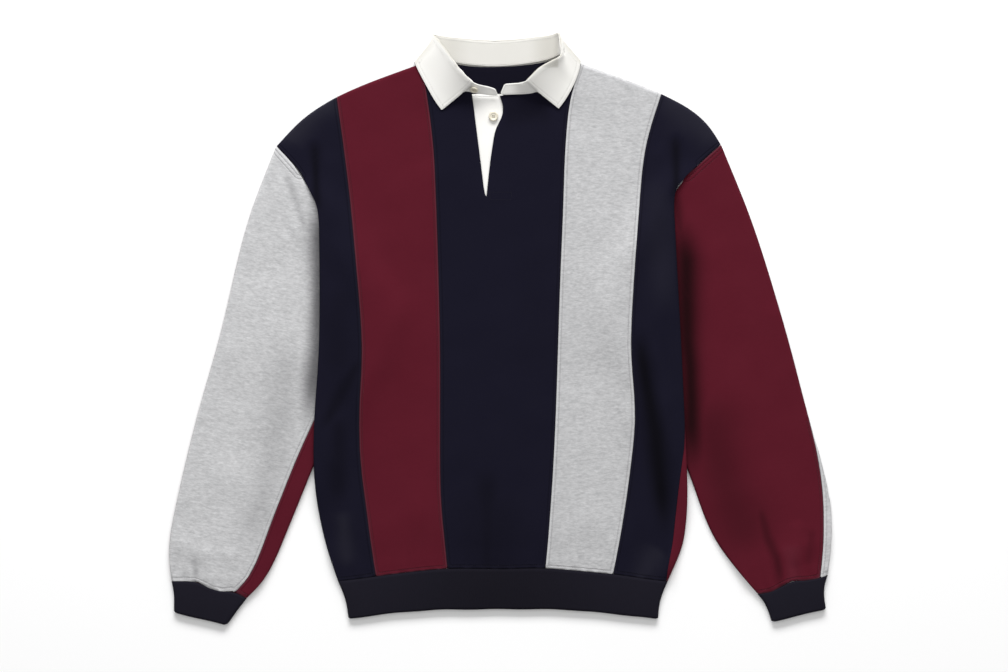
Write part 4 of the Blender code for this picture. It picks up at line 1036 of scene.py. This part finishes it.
def sewPiece(node, threadName, lines):
    thread = bmesh.new()
    tree = pieceTree(cloth[node])
    for line in lines:
        sewLine(thread, tree, line)
    if not thread.faces:
        thread.free()
        return
    for face in thread.faces:
        face.smooth = True
    mesh = bpy.data.meshes.new(f"stitches_{node}")
    thread.to_mesh(mesh)
    thread.free()
    piece = newPiece(f"stitches_{node}", mesh, threads[threadName])
    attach(piece, "root")
    print("sewn", node, len(mesh.polygons) // 20, "stitches")


for node, (threadName, seams) in rows.items():
    lines = []
    for others in seams:
        insets = [sewing["inset"]]
        if node.startswith("sleeve") and others[0].startswith("front_side"):  # two rows at an armhole
            insets.append(sewing["secondInset"])
        for inset in insets:
            for line, outs in orderedLines(seamEdges(node, others)):
                lines.append(insetLine(line, outs, inset))
    sewPiece(node, threadName, lines)

box = {"left": -0.0135, "right": 0.0150, "top": 0.1800, "bottom": 0.1703, "height": 0.008}
corners = [
    (box["left"], box["top"]), (box["right"], box["top"]),
    (box["right"], box["bottom"]), (box["left"], box["bottom"])]
boxLines = []
for (x0, y0), (x1, y1) in zip(corners, corners[1:] + corners[:1]):
    count = max(3, round(math.hypot(x1 - x0, y1 - y0) / sewing["pitch"]))
    share = (np.arange(count) + 0.5) / count
    boxLines.append(np.column_stack(
        [x0 + (x1 - x0) * share, y0 + (y1 - y0) * share, np.full(count, box["height"])]))
sewPiece("placket_fly", "navy", boxLines)
for node, inset in (("collar_fall", 0.0055), ("collar_band", 0.0022), ("placket_stand", 0.0030)):
    lines = [insetLine(line, outs, inset) for line, outs in orderedLines(rims[node])]
    sewPiece(node, "white", lines)

print("setting the studio")
studio = {
    "floorColour": (0.95, 0.95, 0.95), "floorSize": 8.0,
    "viewCentre": (0.0051, -0.0094), "viewWidth": 1.3306, "viewHeight": 4.0, "sensor": 36.0, "air": 0.38,
}
lamps = {
    "overhead": {"power": 23, "size": (2.5, 2.5), "place": (0.0, 0.3, 3.0)},
    "fromCollar": {"power": 380, "size": (4.4, 1.6), "place": (0.0, 4.6, 2.3)},
}


def buildFloor():
    sheet = bmesh.new()
    bmesh.ops.create_grid(sheet, x_segments=1, y_segments=1, size=studio["floorSize"] / 2)
    mesh = bpy.data.meshes.new("floor")
    sheet.to_mesh(mesh)
    sheet.free()
    floor = bpy.data.objects.new("floor", mesh)
    bpy.context.scene.collection.objects.link(floor)
    made = bpy.data.materials.new("floorPaper")
    made.use_nodes = True
    inputs = made.node_tree.nodes["Principled BSDF"].inputs
    inputs["Base Color"].default_value = (*studio["floorColour"], 1)
    inputs["Roughness"].default_value = 1.0
    inputs["Specular IOR Level"].default_value = 0.0
    mesh.materials.append(made)


def addLight(name, power, size, place, target=(0, 0, 0)):
    data = bpy.data.lights.new(name, "AREA")
    data.energy = power
    data.shape = "RECTANGLE"
    data.size, data.size_y = size
    lamp = bpy.data.objects.new(name, data)
    lamp.location = place
    lamp.rotation_euler = (Vector(target) - Vector(place)).to_track_quat("-Z", "Y").to_euler()
    bpy.context.scene.collection.objects.link(lamp)


buildFloor()
for name, lamp in lamps.items():
    addLight(name, **lamp)
world = bpy.data.worlds.new("studioAir")
world.use_nodes = True
air = world.node_tree.nodes["Background"].inputs
air["Color"].default_value = (1, 1, 1, 1)
air["Strength"].default_value = studio["air"]
scene = bpy.context.scene
scene.world = world
scene.view_settings.view_transform = "Standard"

cameraData = bpy.data.cameras.new("overheadCamera")
cameraData.sensor_width = studio["sensor"]
cameraData.lens = studio["sensor"] * studio["viewHeight"] / studio["viewWidth"]
camera = bpy.data.objects.new("overheadCamera", cameraData)
camera.location = (*studio["viewCentre"], studio["viewHeight"])
scene.collection.objects.link(camera)
scene.camera = camera
